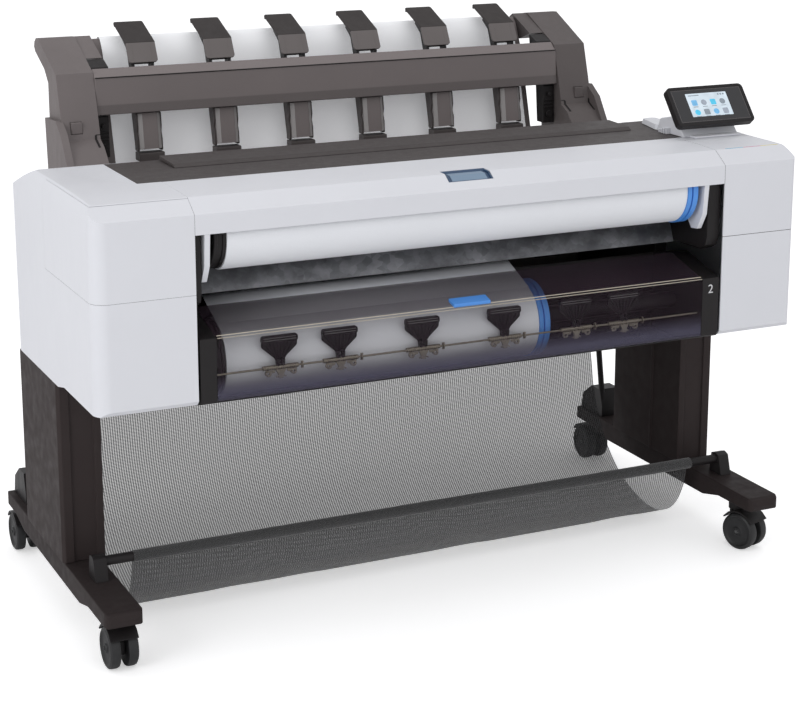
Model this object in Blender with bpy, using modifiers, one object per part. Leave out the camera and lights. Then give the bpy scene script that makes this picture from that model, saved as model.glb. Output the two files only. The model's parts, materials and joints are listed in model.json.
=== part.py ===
"""Large format plotter on a wheeled stand, with a roll drawer, a stacker and a paper basket.

X is centred on the machine, Y runs back from its front face and Z is up. Every part hangs from
one empty that puts the middle of the footprint at the world's origin.
"""
import math

import bmesh
import bpy
from mathutils import Matrix, Vector

# Driving dimensions, in metres.
WIDTH = 1.390
DEPTH = 0.760
WALL = 0.003
GAP = 0.0003
SEAM = 0.0005

# Printer body.
HALF = WIDTH / 2
OPENING_LEFT = -0.517
OPENING_RIGHT = 0.533
BODY_TOP = 0.831
BODY_REAR = 0.500
BODY_FLOOR = 0.4655
COVER_SPLIT = 0.668
LEFT_CORNER = 0.028
RIGHT_CORNER = 0.010
CORNER_STEPS = 8
TOP_EDGE = (0.016, 0.033)
EDGE_STEPS = 6
CREASE = (0.035, 0.829)
BEVEL_FOOT = 0.805
LID_FOOT = 0.770
LID_REAR = 0.170
LID_AXIS = (LID_REAR, BODY_TOP)
DOOR_REAR = 0.295
DOOR_TOP = 0.8275
PLATE_INNER_LEFT = -0.503
PLATE_INNER_RIGHT = 0.505

# Paper rolls.
PAPER_36 = 0.914
UPPER_ROLL_RADIUS = 0.0655
LOWER_ROLL_RADIUS = 0.070
HUB_LIP = 0.0025
SPINDLE_RADIUS = 0.025
JOURNAL_RADIUS = 0.016
CORE_RADIUS = 0.0255
HUB_WIDTH = 0.022
UPPER_ROLL = (0.075, 0.757)
LOWER_ROLL = (0.095, 0.530)
WEB_ANGLE = math.radians(112.2)
LOWER_PAPER_RIGHT = 0.153

# Roll drawer.
DRAWER_LEFT = -0.513
DRAWER_RIGHT = 0.528
DRAWER_BAY = (-0.483, 0.491)
WINDOW_FOOT = 0.478
WINDOW_TOP = 0.590
PINCH_ROD = (0.014, 0.521)
PINCH_PLACES = (-0.363, -0.250, -0.090, 0.075, 0.224, 0.327)

# Stand.
LEG_INNER = 0.616
LEG_FRONT = 0.255
LEG_REAR = 0.510
FOOT_TOP = 0.125
FOOT_REAR = 0.690
WHEEL_RADIUS = 0.0375
CASTER_TRAIL = 0.020
CASTERS = (
    ("front_left", -0.652, 0.085, 180),
    ("front_right", 0.652, 0.085, 198),
    ("rear_left", -0.660, 0.658, 0),
    ("rear_right", 0.660, 0.658, 0))
BAR_Y = 0.170
BAR_Z = 0.155
BAR_RADIUS = 0.009
CLIP_PLACES = (-0.655, 0.664)
MESH_HALF = 0.590
REAR_ROD = (0.646, 0.455)
POST_X = 0.627

# Stacker.
TOWER_INNER = 0.505
TOWER_OUTER = 0.578
BRACKET_OUTER = 0.588
RIB_PITCH = 0.159
RIB_COUNT = 6
ARM_AXIS = (0.640, 0.962)
LATCH_X = 0.550
LATCH_SIZE = 0.022
LATCH_Z = 0.865

# Control panel, leaning back from the vertical.
PANEL_CENTRE = (0.603, 0.1595, 0.8935)
PANEL_SIZE = (0.176, 0.087, 0.014)
PANEL_LEAN = math.radians(39.5)
PANEL_AXIS = (0.1755, 0.8790)

# Mains inlet and switch on the back.
INLET_X = 0.420
INLET_Z = 0.560

MATERIALS = {
    "white_cover": ((0.74, 0.75, 0.78), 0.45, 0.0),
    "brown_plastic": ((0.090, 0.080, 0.078), 0.45, 0.0),
    "dark_plastic": ((0.040, 0.035, 0.036), 0.45, 0.0),
    "leg_metal": ((0.060, 0.050, 0.050), 0.50, 0.3),
    "galvanised": ((0.32, 0.33, 0.34), 0.45, 0.8),
    "steel": ((0.45, 0.44, 0.42), 0.35, 0.9),
    "paper": ((0.86, 0.87, 0.90), 0.85, 0.0),
    "blue_plastic": ((0.14, 0.38, 0.85), 0.35, 0.0),
    "smoked_clear": ((0.10, 0.09, 0.11), 0.12, 0.0),
    "black_glass": ((0.010, 0.010, 0.012), 0.08, 0.0),
    "caster_rubber": ((0.020, 0.020, 0.021), 0.55, 0.0),
    "basket_mesh": ((0.25, 0.25, 0.25), 0.85, 0.0),
}


# Tools.

def clear_scene():
    """Remove the objects that a new file starts with."""
    for item in list(bpy.data.objects):
        bpy.data.objects.remove(item)


def new_collection(name):
    """Add a collection to the scene."""
    collection = bpy.data.collections.new(name)
    bpy.context.scene.collection.children.link(collection)
    return collection


def get_material(name):
    """Return the named material, making it on its first use."""
    material = bpy.data.materials.get(name)
    if material:
        return material
    colour, roughness, metallic = MATERIALS[name]
    material = bpy.data.materials.new(name)
    material.use_nodes = True
    shader = material.node_tree.nodes["Principled BSDF"]
    shader.inputs["Base Color"].default_value = (*colour, 1.0)
    shader.inputs["Roughness"].default_value = roughness
    shader.inputs["Metallic"].default_value = metallic
    return material


def empty(name, location, parent=None):
    """Add an empty at a joint's axis or at the machine's origin."""
    marker = bpy.data.objects.new(name, None)
    marker.empty_display_size = 0.05
    PARTS.objects.link(marker)
    marker.parent = parent
    offset = parent["place"] if parent else (0, 0, 0)
    marker["place"] = location if parent else (0, 0, 0)
    marker.location = Vector(location) - Vector(offset)
    return marker


def tidy_mesh(mesh, merge=0.00002):
    """Weld a mesh's loose caps and turn its faces outwards."""
    work = bmesh.new()
    work.from_mesh(mesh)
    bmesh.ops.remove_doubles(work, verts=work.verts, dist=merge)
    bmesh.ops.recalc_face_normals(work, faces=work.faces)
    work.to_mesh(mesh)
    work.free()
    return mesh


def evaluated_mesh(item):
    """Read an object's evaluated mesh and remove the object."""
    CUTTERS.objects.link(item)
    item.hide_render = True
    item.display_type = "WIRE"
    graph = bpy.context.evaluated_depsgraph_get()
    mesh = bpy.data.meshes.new_from_object(item.evaluated_get(graph))
    bpy.data.objects.remove(item)
    return mesh


def flat_curve(outline, thickness, closed):
    """Return a 2D curve of straight runs, extruded to a thickness."""
    curve = bpy.data.curves.new("outline", "CURVE")
    curve.dimensions = "2D"
    curve.fill_mode = "BOTH" if closed else "NONE"
    curve.extrude = thickness / 2
    spline = curve.splines.new("POLY")
    spline.points.add(len(outline) - 1)
    for point, (u, v) in zip(spline.points, outline):
        point.co = (u, v, 0, 1)
    spline.use_cyclic_u = closed
    return curve


def turn_to(axis, middle):
    """Return the matrix that turns a flat outline's own Z to a world axis."""
    rows = {
        "X": ((0, 0, 1, middle), (1, 0, 0, 0), (0, 1, 0, 0)),
        "Y": ((1, 0, 0, 0), (0, 0, -1, middle), (0, 1, 0, 0)),
        "Z": ((1, 0, 0, 0), (0, 1, 0, 0), (0, 0, 1, middle)),
    }[axis]
    return Matrix((*rows, (0, 0, 0, 1)))


def extrude(outline, span, axis="X"):
    """Return a solid: a closed outline carried along an axis."""
    low, high = sorted(span)
    curve = flat_curve(outline, high - low, True)
    mesh = evaluated_mesh(bpy.data.objects.new("solid", curve))
    mesh.transform(turn_to(axis, (low + high) / 2))
    return tidy_mesh(mesh)


def sheet(path, span, thickness, axis="X"):
    """Return a bent sheet: an open path carried along an axis, thickened to its right."""
    low, high = sorted(span)
    surface = evaluated_mesh(bpy.data.objects.new("surface", flat_curve(path, high - low, False)))
    surface.transform(turn_to(axis, (low + high) / 2))
    item = bpy.data.objects.new("sheet", surface)
    solidify = item.modifiers.new("thickness", "SOLIDIFY")
    solidify.thickness = thickness
    solidify.offset = -1
    solidify.use_even_offset = True
    return tidy_mesh(evaluated_mesh(item))


def box(low, high):
    """Return a box between two corners."""
    work = bmesh.new()
    bmesh.ops.create_cube(work, size=1)
    size = Vector(high) - Vector(low)
    middle = (Vector(high) + Vector(low)) / 2
    bmesh.ops.scale(work, vec=size, verts=work.verts)
    bmesh.ops.translate(work, vec=middle, verts=work.verts)
    mesh = bpy.data.meshes.new("box")
    work.to_mesh(mesh)
    work.free()
    return mesh


def cylinder(centre, radius, length, axis="X", sides=24):
    """Return a capped cylinder about an axis."""
    work = bmesh.new()
    bmesh.ops.create_cone(
        work, cap_ends=True, segments=sides, radius1=radius, radius2=radius, depth=length)
    mesh = bpy.data.meshes.new("cylinder")
    work.to_mesh(mesh)
    work.free()
    mesh.transform(turn_to(axis, 0))
    mesh.transform(Matrix.Translation(centre))
    return mesh


def turned(profile, centre, sides=32):
    """Return a shape turned about X; the profile is (x, radius) from its right end to its left."""
    mesh = bpy.data.meshes.new("profile")
    verts = [(radius, 0, x) for x, radius in profile]
    mesh.from_pydata(verts, [(i, i + 1) for i in range(len(verts) - 1)], [])
    item = bpy.data.objects.new("turned", mesh)
    screw = item.modifiers.new("turn", "SCREW")
    screw.steps = sides
    screw.render_steps = sides
    screw.use_merge_vertices = True
    screw.merge_threshold = 0.00002
    shape = tidy_mesh(evaluated_mesh(item))
    shape.transform(turn_to("X", 0))
    shape.transform(Matrix.Translation(centre))
    return shape


def ring(right, left, outer, inner, centre, sides=48):
    """Return a tube about X with square ends."""
    return turned(
        [(right, inner), (right, outer), (left, outer), (left, inner), (right, inner)],
        centre, sides)


def tube(points, radius):
    """Return a round rod along a path."""
    curve = bpy.data.curves.new("rod", "CURVE")
    curve.dimensions = "3D"
    curve.bevel_depth = radius
    curve.bevel_resolution = 3
    curve.use_fill_caps = True
    spline = curve.splines.new("POLY")
    spline.points.add(len(points) - 1)
    for point, place in zip(spline.points, points):
        point.co = (*place, 1)
    return tidy_mesh(evaluated_mesh(bpy.data.objects.new("rod", curve)))


def boolean(operation, body, others):
    """Join, cut or intersect a mesh with others, and return the result."""
    item = bpy.data.objects.new("body", body)
    helpers = []
    for other in others:
        helper = bpy.data.objects.new("cutter", other)
        helper.hide_render = True
        helper.display_type = "WIRE"
        CUTTERS.objects.link(helper)
        helpers.append(helper)
        modifier = item.modifiers.new(operation.lower(), "BOOLEAN")
        modifier.operation = operation
        modifier.solver = "EXACT"
        modifier.object = helper
    mesh = evaluated_mesh(item)
    for helper in helpers:
        bpy.data.objects.remove(helper)
    return tidy_mesh(mesh)


def join(body, *others):
    """Return the union of overlapping meshes."""
    return boolean("UNION", body, others)


def cut(body, *others):
    """Return a mesh with the others cut away."""
    return boolean("DIFFERENCE", body, others)


def common(body, *others):
    """Return what a mesh shares with all the others."""
    return boolean("INTERSECT", body, others)


def inset(outline, distance):
    """Move every edge of a counter-clockwise outline inwards."""
    moved = []
    for index, here in enumerate(outline):
        before = Vector(here) - Vector(outline[index - 1])
        after = Vector(outline[(index + 1) % len(outline)]) - Vector(here)
        first = Vector((-before.y, before.x)).normalized()
        second = Vector((-after.y, after.x)).normalized()
        shift = (first + second) * distance / (1 + first.dot(second))
        moved.append(tuple(Vector(here) + shift))
    return moved


def rounded(low, high, radius, steps=5):
    """Return a rectangle's outline with round corners, counter-clockwise."""
    corners = (
        (high[0] - radius, high[1] - radius), (low[0] + radius, high[1] - radius),
        (low[0] + radius, low[1] + radius), (high[0] - radius, low[1] + radius))
    outline = []
    for quarter, (u, v) in enumerate(corners):
        for step in range(steps + 1):
            angle = math.radians(90) * (quarter + step / steps)
            outline.append((u + radius * math.cos(angle), v + radius * math.sin(angle)))
    return outline


def part(name, mesh, material, parent, pivot=None, bevel=0.0, smooth=False):
    """Add a finished mesh as a part whose origin is its pivot or its middle."""
    if pivot is None:
        corners = [vertex.co for vertex in mesh.vertices]
        pivot = [(min(c[i] for c in corners) + max(c[i] for c in corners)) / 2 for i in range(3)]
    pivot = Vector(pivot)
    mesh.transform(Matrix.Translation(-pivot))
    mesh.name = name
    if smooth:
        mesh.shade_smooth()
        mesh.set_sharp_from_angle(angle=math.radians(35))
    item = bpy.data.objects.new(name, mesh)
    item.data.materials.clear()
    item.data.materials.append(get_material(material))
    PARTS.objects.link(item)
    item.parent = parent
    item.location = pivot - Vector(parent["place"])
    if bevel:
        edge = item.modifiers.new("edges", "BEVEL")
        edge.width = bevel
        edge.segments = 1
        edge.limit_method = "ANGLE"
        edge.angle_limit = math.radians(50)
    return item


def both_sides():
    """Give each side's name and the sign of its X."""
    return (("left", -1), ("right", 1))


# Stand.

def build_stand(machine):
    """Two feet, two columns, a brace, and the basket's posts and rods."""
    foot = [
        (0.000, 0.110), (0.004, 0.121), (0.012, FOOT_TOP), (FOOT_REAR - 0.010, FOOT_TOP),
        (FOOT_REAR, 0.112), (FOOT_REAR - 0.004, 0.098), (0.615, 0.097), (0.555, 0.083),
        (0.170, 0.083), (0.115, 0.097), (0.004, 0.098)]
    for side, sign in both_sides():
        low, high = sorted((sign * 0.624, sign * 0.692))
        ends = rounded((low, 0.000), (high, FOOT_REAR), 0.014, 3)
        solid = common(extrude(foot, (low, high)), extrude(ends, (0.0, 0.2), "Z"))
        part(f"foot_{side}", solid, "leg_metal", machine)
        part(f"column_{side}", build_column(sign), "leg_metal", machine)
        part(f"basket_post_{side}", build_post(sign), "dark_plastic", machine)
    brace = box((-LEG_INNER + GAP, 0.420, 0.380), (LEG_INNER - GAP, 0.445, 0.440))
    part("cross_brace", brace, "leg_metal", machine, bevel=0.002)
    inner = POST_X - 0.0085
    rod = cylinder((0, *REAR_ROD), 0.007, 2 * inner, sides=12)
    part("basket_rear_rod", rod, "dark_plastic", machine, smooth=True)
    part("basket_front_bar", build_front_bar(), "dark_plastic", machine)


def build_column(sign):
    """A folded steel column with a recessed front band and a ridge on its inner face."""
    outline = [
        (LEG_INNER, LEG_FRONT), (0.630, LEG_FRONT), (0.630, 0.259), (0.673, 0.259),
        (0.673, LEG_FRONT), (0.690, LEG_FRONT), (HALF, 0.262), (HALF, LEG_REAR),
        (LEG_INNER, LEG_REAR), (LEG_INNER, 0.362), (0.613, 0.361), (0.613, 0.355),
        (LEG_INNER, 0.354)]
    outline = [(sign * x, y) for x, y in outline]
    column = extrude(outline, (FOOT_TOP + GAP, BODY_FLOOR - GAP), "Z")
    low, high = sorted((sign * 0.668, sign * 0.691))
    return join(column, box((low, LEG_REAR - 0.002, 0.405), (high, LEG_REAR + 0.012, 0.450)))


def build_post(sign):
    """A block on the foot and the post that leans back from it."""
    outline = [
        (0.585, FOOT_TOP + GAP), (0.676, FOOT_TOP + GAP), (0.668, 0.160), (0.632, 0.186),
        (0.596, 0.186), (0.585, 0.150)]
    block = extrude(outline, (sign * 0.632, sign * 0.678))
    foot = (sign * 0.640, 0.598, 0.165)
    x = sign * POST_X
    post = tube([foot, (x, 0.598, 0.290), (x, 0.606, 0.380), (x, *REAR_ROD)], 0.0065)
    return join(block, post)


def build_front_bar():
    """The rod that holds the basket's front edge, with a clip at each foot."""
    left, right = CLIP_PLACES
    bar = cylinder(((left + right) / 2, BAR_Y, BAR_Z), BAR_RADIUS, right - left + 0.002, sides=16)
    outline = [
        (BAR_Y - 0.024, FOOT_TOP + GAP), (BAR_Y + 0.018, FOOT_TOP + GAP),
        (BAR_Y + 0.013, BAR_Z + 0.010), (BAR_Y, BAR_Z + 0.014), (BAR_Y - 0.012, BAR_Z + 0.010)]
    return join(bar, *(extrude(outline, (x - 0.012, x + 0.012)) for x in CLIP_PLACES))


def build_basket(machine):
    """The mesh sling that hangs from the rear rod to the front bar."""
    path = [
        (REAR_ROD[0] - 0.010, 0.450), (0.572, 0.292), (0.546, 0.182), (0.490, 0.095),
        (0.410, 0.034), (0.335, 0.0115), (0.270, 0.0145), (0.212, 0.056), (0.184, 0.116),
        (0.180, 0.146)]
    mesh = sheet(path, (-MESH_HALF, MESH_HALF), 0.002)
    part("basket_mesh", mesh, "basket_mesh", machine, smooth=True)


def caster_fork():
    """A twin-wheel caster's frame about its axle: web, hood and swivel plate."""
    web_outline = [(-0.014, -0.006), (-0.010, -0.014), (0.010, -0.014), (0.014, -0.006),
                   (0.014, 0.010), (-0.006, 0.042), (-0.034, 0.042), (-0.034, 0.030)]
    web = extrude(web_outline, (-0.006, 0.006))
    hood_outline = []
    for radius, angles in ((0.0435, range(35, 146, 22)), (0.0400, range(145, 34, -22))):
        for angle in angles:
            turn = math.radians(angle)
            hood_outline.append((radius * math.cos(turn), radius * math.sin(turn)))
    hood = extrude(hood_outline, (-0.026, 0.026))
    plate = cylinder((0, -CASTER_TRAIL, 0.0490), 0.017, 0.019, "Z", 20)
    bore = cylinder((0, 0, 0), 0.0046, 0.030, sides=20)
    return cut(join(web, hood, plate), bore)


def caster_wheels():
    """Two wheels on one axle."""
    half = [(0.026, 0.030), (0.023, 0.0365), (0.019, WHEEL_RADIUS), (0.010, WHEEL_RADIUS),
            (0.0066, 0.035), (0.0066, 0.004)]
    profile = [(0.026, 0.0)] + half
    profile += [(-x, radius) for x, radius in reversed(half)] + [(-0.026, 0.0)]
    return turned(profile, (0, 0, 0), 24)


def build_casters(machine):
    """Four swivel casters, each with its own swivel and axle."""
    fork = caster_fork()
    wheels = caster_wheels()
    for corner, x, y, turn in CASTERS:
        stem = (x, y, FOOT_TOP)
        axle = (x, y + CASTER_TRAIL, WHEEL_RADIUS)
        swivel = empty(f"swivel_{corner}", stem, machine)
        swivel.rotation_euler.z = math.radians(turn)
        add_copy(f"caster_fork_{corner}", fork, "dark_plastic", swivel, axle)
        spin = empty(f"axle_{corner}", axle, swivel)
        add_copy(f"caster_wheels_{corner}", wheels, "caster_rubber", spin, axle)


def add_copy(name, mesh, material, parent, place):
    """Add a repeated part that shares its mesh, built about its own origin."""
    if not mesh.materials:
        mesh.materials.append(get_material(material))
        mesh.shade_smooth()
        mesh.set_sharp_from_angle(angle=math.radians(35))
    item = bpy.data.objects.new(name, mesh)
    PARTS.objects.link(item)
    item.parent = parent
    item.location = Vector(place) - Vector(parent["place"])


# Printer body.

def side_outline():
    """The covers' outline seen from the side, counter-clockwise in (y, z)."""
    return [
        (0.000, 0.483), (0.008, 0.475), (0.200, 0.475), (0.240, BODY_FLOOR),
        (BODY_REAR, BODY_FLOOR), (BODY_REAR + 0.003, 0.785), (0.373, BODY_TOP),
        (0.090, BODY_TOP), CREASE, (0.000, BEVEL_FOOT)]


def cover_solid(sign, inner, corner, shrink, overrun):
    """A side cover's solid form, smaller all round by shrink and longer inwards by overrun."""
    outer = HALF - shrink
    side = extrude(inset(side_outline(), shrink), (sign * (inner - overrun), sign * HALF))
    radius = corner - shrink
    front = shrink or -0.0001
    centre = (outer - radius, front + radius)
    plan = [(inner - overrun, front)]
    for step in range(CORNER_STEPS + 1):
        angle = math.radians(-90 + 90 * step / CORNER_STEPS)
        plan.append((centre[0] + radius * math.cos(angle), centre[1] + radius * math.sin(angle)))
    plan += [(outer, BODY_REAR + 0.010), (inner - overrun, BODY_REAR + 0.010)]
    section = [(inner - overrun - 0.010, 0.400), (outer, 0.400)]
    across, rise = TOP_EDGE
    for step in range(EDGE_STEPS + 1):
        angle = math.radians(90 * step / EDGE_STEPS)
        section.append((outer - across * (1 - math.cos(angle)),
                        BODY_TOP - shrink - rise * (1 - math.sin(angle))))
    section.append((inner - overrun - 0.010, BODY_TOP - shrink))
    plan = [(sign * x, y) for x, y in plan]
    section = [(sign * x, z) for x, z in section]
    return common(side, extrude(plan, (0.400, 0.900), "Z"), extrude(section, (-0.050, 0.600), "Y"))


def cover_shell(sign, inner, corner):
    """A side cover's shell, open towards the middle of the machine."""
    return cut(cover_solid(sign, inner, corner, 0.0, 0.0),
               cover_solid(sign, inner, corner, WALL, 0.020))


def deck_outline(grow):
    """The dark deck's outline from above, in (x, y)."""
    return [
        (-0.560 - grow, LID_REAR + 0.0015 - grow), (0.553 + grow, LID_REAR + 0.0015 - grow),
        (0.619 + grow, 0.372 + grow), (-0.560 - grow, 0.372 + grow)]


def build_covers(machine):
    """Left cover with its ink door, and right covers."""
    notch = extrude(deck_outline(SEAM), (0.8215, 0.900), "Z")
    left = cut(cover_shell(-1, -OPENING_LEFT, LEFT_CORNER), notch)
    door_zone = box((-0.720, -0.050, COVER_SPLIT), (-0.500, DOOR_REAR, DOOR_TOP))
    door_fill = box((-0.720, -0.050, COVER_SPLIT + SEAM),
                    (-0.500, DOOR_REAR - SEAM, DOOR_TOP - SEAM))
    part("cover_left", cut(left, door_zone), "white_cover", machine)
    hinge = (-HALF, DOOR_REAR - GAP, 0.748)
    pivot = empty("ink_door_hinge", hinge, machine)
    door = common(cover_shell(-1, -OPENING_LEFT, LEFT_CORNER), door_fill)
    part("ink_door", door, "white_cover", pivot, pivot=hinge)

    right = cut(cover_shell(1, OPENING_RIGHT, RIGHT_CORNER), notch)
    above = box((0.500, -0.050, COVER_SPLIT + SEAM), (0.720, 0.600, 0.900))
    below = box((0.500, -0.050, 0.400), (0.720, 0.600, COVER_SPLIT - SEAM))
    part("cover_right_upper", common(right, above), "white_cover", machine)
    part("cover_right_lower", common(right, below), "white_cover", machine)

    part("deck", extrude(deck_outline(0), (0.8225, BODY_TOP), "Z"), "brown_plastic", machine)
    flap = [(0.280, BODY_TOP + GAP), (0.367, BODY_TOP + GAP), (0.367, 0.8400), (0.290, 0.8375)]
    part("deck_flap", extrude(flap, (-0.456, 0.499)), "brown_plastic", machine)


def build_lid(machine):
    """The front lid with its two hanging arms and its latch handle."""
    pivot = empty("lid_hinge", (0, *LID_AXIS), machine)
    span = (OPENING_LEFT + SEAM, OPENING_RIGHT - SEAM)
    path = [(0.000, LID_FOOT), (0.000, BEVEL_FOOT), CREASE, (0.090, BODY_TOP),
            (LID_REAR, BODY_TOP)]
    lid = sheet(path, span, WALL)
    arm = [(0.0015, LID_FOOT + 0.002), (0.0015, 0.8040), (0.031, 0.8245), (0.038, 0.770),
           (0.046, 0.730), (0.063, 0.704), (0.044, 0.681), (0.024, 0.683), (0.007, 0.714)]
    arms = [extrude(arm, (-0.4995, -0.4895)), extrude(arm, (0.4895, 0.4995))]
    hole = box((-0.038, 0.018, 0.790), (0.051, 0.058, 0.850))
    part("lid", cut(join(lid, *arms), hole), "white_cover", pivot, pivot=(0, *LID_AXIS))
    grip = [(0.0185, 0.8135), (0.035, 0.8250), (0.0575, 0.8262), (0.0575, 0.8225),
            (0.036, 0.8205), (0.0185, 0.8085)]
    part("lid_handle", extrude(grip, (-0.0375, 0.0505)), "blue_plastic", pivot)


def build_frame(machine):
    """The inner frame: floor pan, side plates, beam, platen, rail, back and inlet."""
    inside = HALF - WALL - SEAM
    pan = box((-inside, 0.250, BODY_FLOOR + WALL + 0.0005), (inside, 0.495, 0.485))
    part("base_pan", pan, "galvanised", machine)
    plate = [
        (0.012, 0.765), (0.012, 0.668), (0.018, 0.650), (0.034, 0.641), (0.190, 0.636),
        (0.190, 0.4855), (0.490, 0.4855), (0.490, 0.775), (0.372, 0.814), (0.047, 0.814),
        (0.012, 0.794)]
    left = (OPENING_LEFT + 0.002, PLATE_INNER_LEFT)
    right = (PLATE_INNER_RIGHT, OPENING_RIGHT - 0.002)
    part("side_plate_left", extrude(plate, left), "dark_plastic", machine)
    part("side_plate_right", extrude(plate, right), "dark_plastic", machine)

    inner = (PLATE_INNER_LEFT + GAP, PLATE_INNER_RIGHT - GAP)
    beam = [(0.152, 0.636), (0.125, 0.636), (0.138, 0.668), (0.160, 0.688), (0.290, 0.688)]
    part("paper_beam", sheet(beam, inner, 0.002), "galvanised", machine)
    platen = box((inner[0], 0.170, 0.6905), (inner[1], 0.300, 0.7050))
    part("platen", platen, "dark_plastic", machine, bevel=0.001)
    rail = [(0.300, 0.740), (0.345, 0.740), (0.345, 0.795), (0.330, 0.795), (0.330, 0.755),
            (0.300, 0.755)]
    part("carriage_rail", extrude(rail, inner), "steel", machine)

    back_path = [(0.3735, 0.8295), (BODY_REAR + 0.002, 0.7840), (BODY_REAR, 0.486)]
    back = sheet(back_path, (OPENING_LEFT + SEAM, OPENING_RIGHT - SEAM), WALL)
    window = box((INLET_X - 0.030, 0.450, INLET_Z - 0.020),
                 (INLET_X + 0.030, 0.550, INLET_Z + 0.020))
    part("rear_panel", cut(back, window), "brown_plastic", machine)
    build_inlet(machine)


def build_inlet(machine):
    """The mains inlet and its rocker switch in one block."""
    block = box((INLET_X - 0.0295, 0.470, INLET_Z - 0.0195),
                (INLET_X + 0.0295, BODY_REAR + 0.002, INLET_Z + 0.0195))
    socket_x = INLET_X - 0.012
    switch_x = INLET_X + 0.018
    socket = box((socket_x - 0.012, 0.483, INLET_Z - 0.009),
                 (socket_x + 0.012, 0.520, INLET_Z + 0.009))
    pocket = box((switch_x - 0.008, 0.485, INLET_Z - 0.012),
                 (switch_x + 0.008, 0.520, INLET_Z + 0.012))
    part("power_inlet", cut(block, socket, pocket), "dark_plastic", machine)
    axis = (switch_x, 0.4960, INLET_Z)
    pivot = empty("switch_axis", axis, machine)
    rocker = [(0.4885, INLET_Z - 0.004), (0.4885, INLET_Z + 0.004), (0.5035, INLET_Z + 0.0095),
              (0.5015, INLET_Z), (0.5035, INLET_Z - 0.0095)]
    span = (switch_x - 0.0075, switch_x + 0.0075)
    part("power_switch", extrude(rocker, span), "dark_plastic", pivot, pivot=axis)


def build_ink(machine):
    """The ink cartridges in their bay behind the ink door."""
    bay = box((-0.684, 0.150, 0.690), (-0.530, 0.290, 0.800))
    cartridges = []
    for index in range(6):
        x = -0.680 + 0.025 * index
        cartridges.append(box((x, 0.030, 0.700), (x + 0.021, 0.160, 0.790)))
    part("ink_cartridges", join(bay, *cartridges), "dark_plastic", machine)


def build_carriage(machine):
    """The print head carriage on its rail."""
    slide = empty("carriage_slide", (0.430, 0.250, 0.750), machine)
    outline = [(0.215, 0.712), (0.297, 0.712), (0.297, 0.757), (0.327, 0.757), (0.327, 0.797),
               (0.240, 0.800), (0.215, 0.775)]
    part("carriage", extrude(outline, (0.365, 0.495)), "dark_plastic", slide)


# Rolls and drawer.

def build_roll(prefix, axis, radius, paper_span, spindle_span, parent):
    """A paper roll on a spindle with a fixed hub at one end and a blue hub at the other."""
    centre = (0, *axis)
    spin = empty(f"{prefix}_roll_axis", centre, parent)
    left, right = paper_span
    paper = ring(right, left, radius, CORE_RADIUS, centre)
    part(f"{prefix}_paper_roll", paper, "paper", spin, pivot=centre, smooth=True)
    hub_right = left - GAP
    hub_left = hub_right - HUB_WIDTH
    low, high = spindle_span
    collar = right + HUB_WIDTH + 0.003
    profile = [
        (high, 0.0), (high, 0.012), (high - 0.008, 0.012), (high - 0.008, JOURNAL_RADIUS),
        (collar, JOURNAL_RADIUS), (collar, SPINDLE_RADIUS), (hub_right, SPINDLE_RADIUS),
        (hub_right, radius - HUB_LIP), (hub_left, radius - HUB_LIP), (hub_left, JOURNAL_RADIUS),
        (low + 0.004, JOURNAL_RADIUS), (low + 0.004, 0.012), (low, 0.012), (low, 0.0)]
    spindle = turned(profile, centre)
    part(f"{prefix}_spindle", spindle, "dark_plastic", spin, pivot=centre, smooth=True)
    hub = ring(right + GAP + HUB_WIDTH, right + GAP, radius + HUB_LIP, CORE_RADIUS, centre)
    part(f"{prefix}_blue_hub", hub, "blue_plastic", spin, pivot=centre, smooth=True)


def build_drawer(machine):
    """The lower roll's drawer: tray, smoked window, handle, pinch bar and paper."""
    slide = empty("drawer_slide", (0, 0.090, 0.530), machine)
    outer = [
        (0.000, WINDOW_FOOT), (0.003, WINDOW_FOOT - 0.003), (0.086, 0.452), (0.172, 0.452),
        (0.178, 0.460), (0.178, 0.605), (0.110, 0.6185), (0.000, WINDOW_TOP)]
    hollow = [
        (-0.020, WINDOW_FOOT), (0.004, WINDOW_FOOT), (0.087, 0.455), (0.174, 0.455),
        (0.174, 0.660), (-0.020, 0.660)]
    tray = cut(extrude(outer, (DRAWER_LEFT, DRAWER_RIGHT)), extrude(hollow, DRAWER_BAY))
    part("drawer_tray", tray, "dark_plastic", slide)

    bay = (DRAWER_BAY[0] + GAP, DRAWER_BAY[1] - GAP)
    path = [(0.000, WINDOW_FOOT + GAP), (0.000, WINDOW_TOP), (0.110, 0.6185)]
    part("drawer_window", sheet(path, bay, WALL), "smoked_clear", slide)
    rise = 0.0285 / 0.110
    tab = [(-0.0005 + 0.004, WINDOW_TOP + 0.0015), (0.026, WINDOW_TOP + 0.026 * rise + GAP + 0.0003),
           (0.026, WINDOW_TOP + 0.026 * rise + 0.007), (0.004, WINDOW_TOP + 0.008)]
    part("drawer_handle", extrude(tab, (-0.034, 0.040)), "blue_plastic", slide)
    part("drawer_pinch_bar", build_pinch_bar(bay), "dark_plastic", slide)
    reach = LOWER_ROLL_RADIUS + 0.0004
    web_path = [(LOWER_ROLL[0] + LOWER_ROLL_RADIUS - 0.003, 0.633),
                (LOWER_ROLL[0] + reach * math.cos(WEB_ANGLE), LOWER_ROLL[1] + reach * math.sin(WEB_ANGLE))]
    web = sheet(web_path, (-PAPER_36 / 2, LOWER_PAPER_RIGHT), 0.0006)
    part("drawer_paper_web", web, "paper", slide)
    build_roll("lower", LOWER_ROLL, LOWER_ROLL_RADIUS, (-PAPER_36 / 2, LOWER_PAPER_RIGHT),
               (-0.4815, 0.4890), slide)


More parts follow.
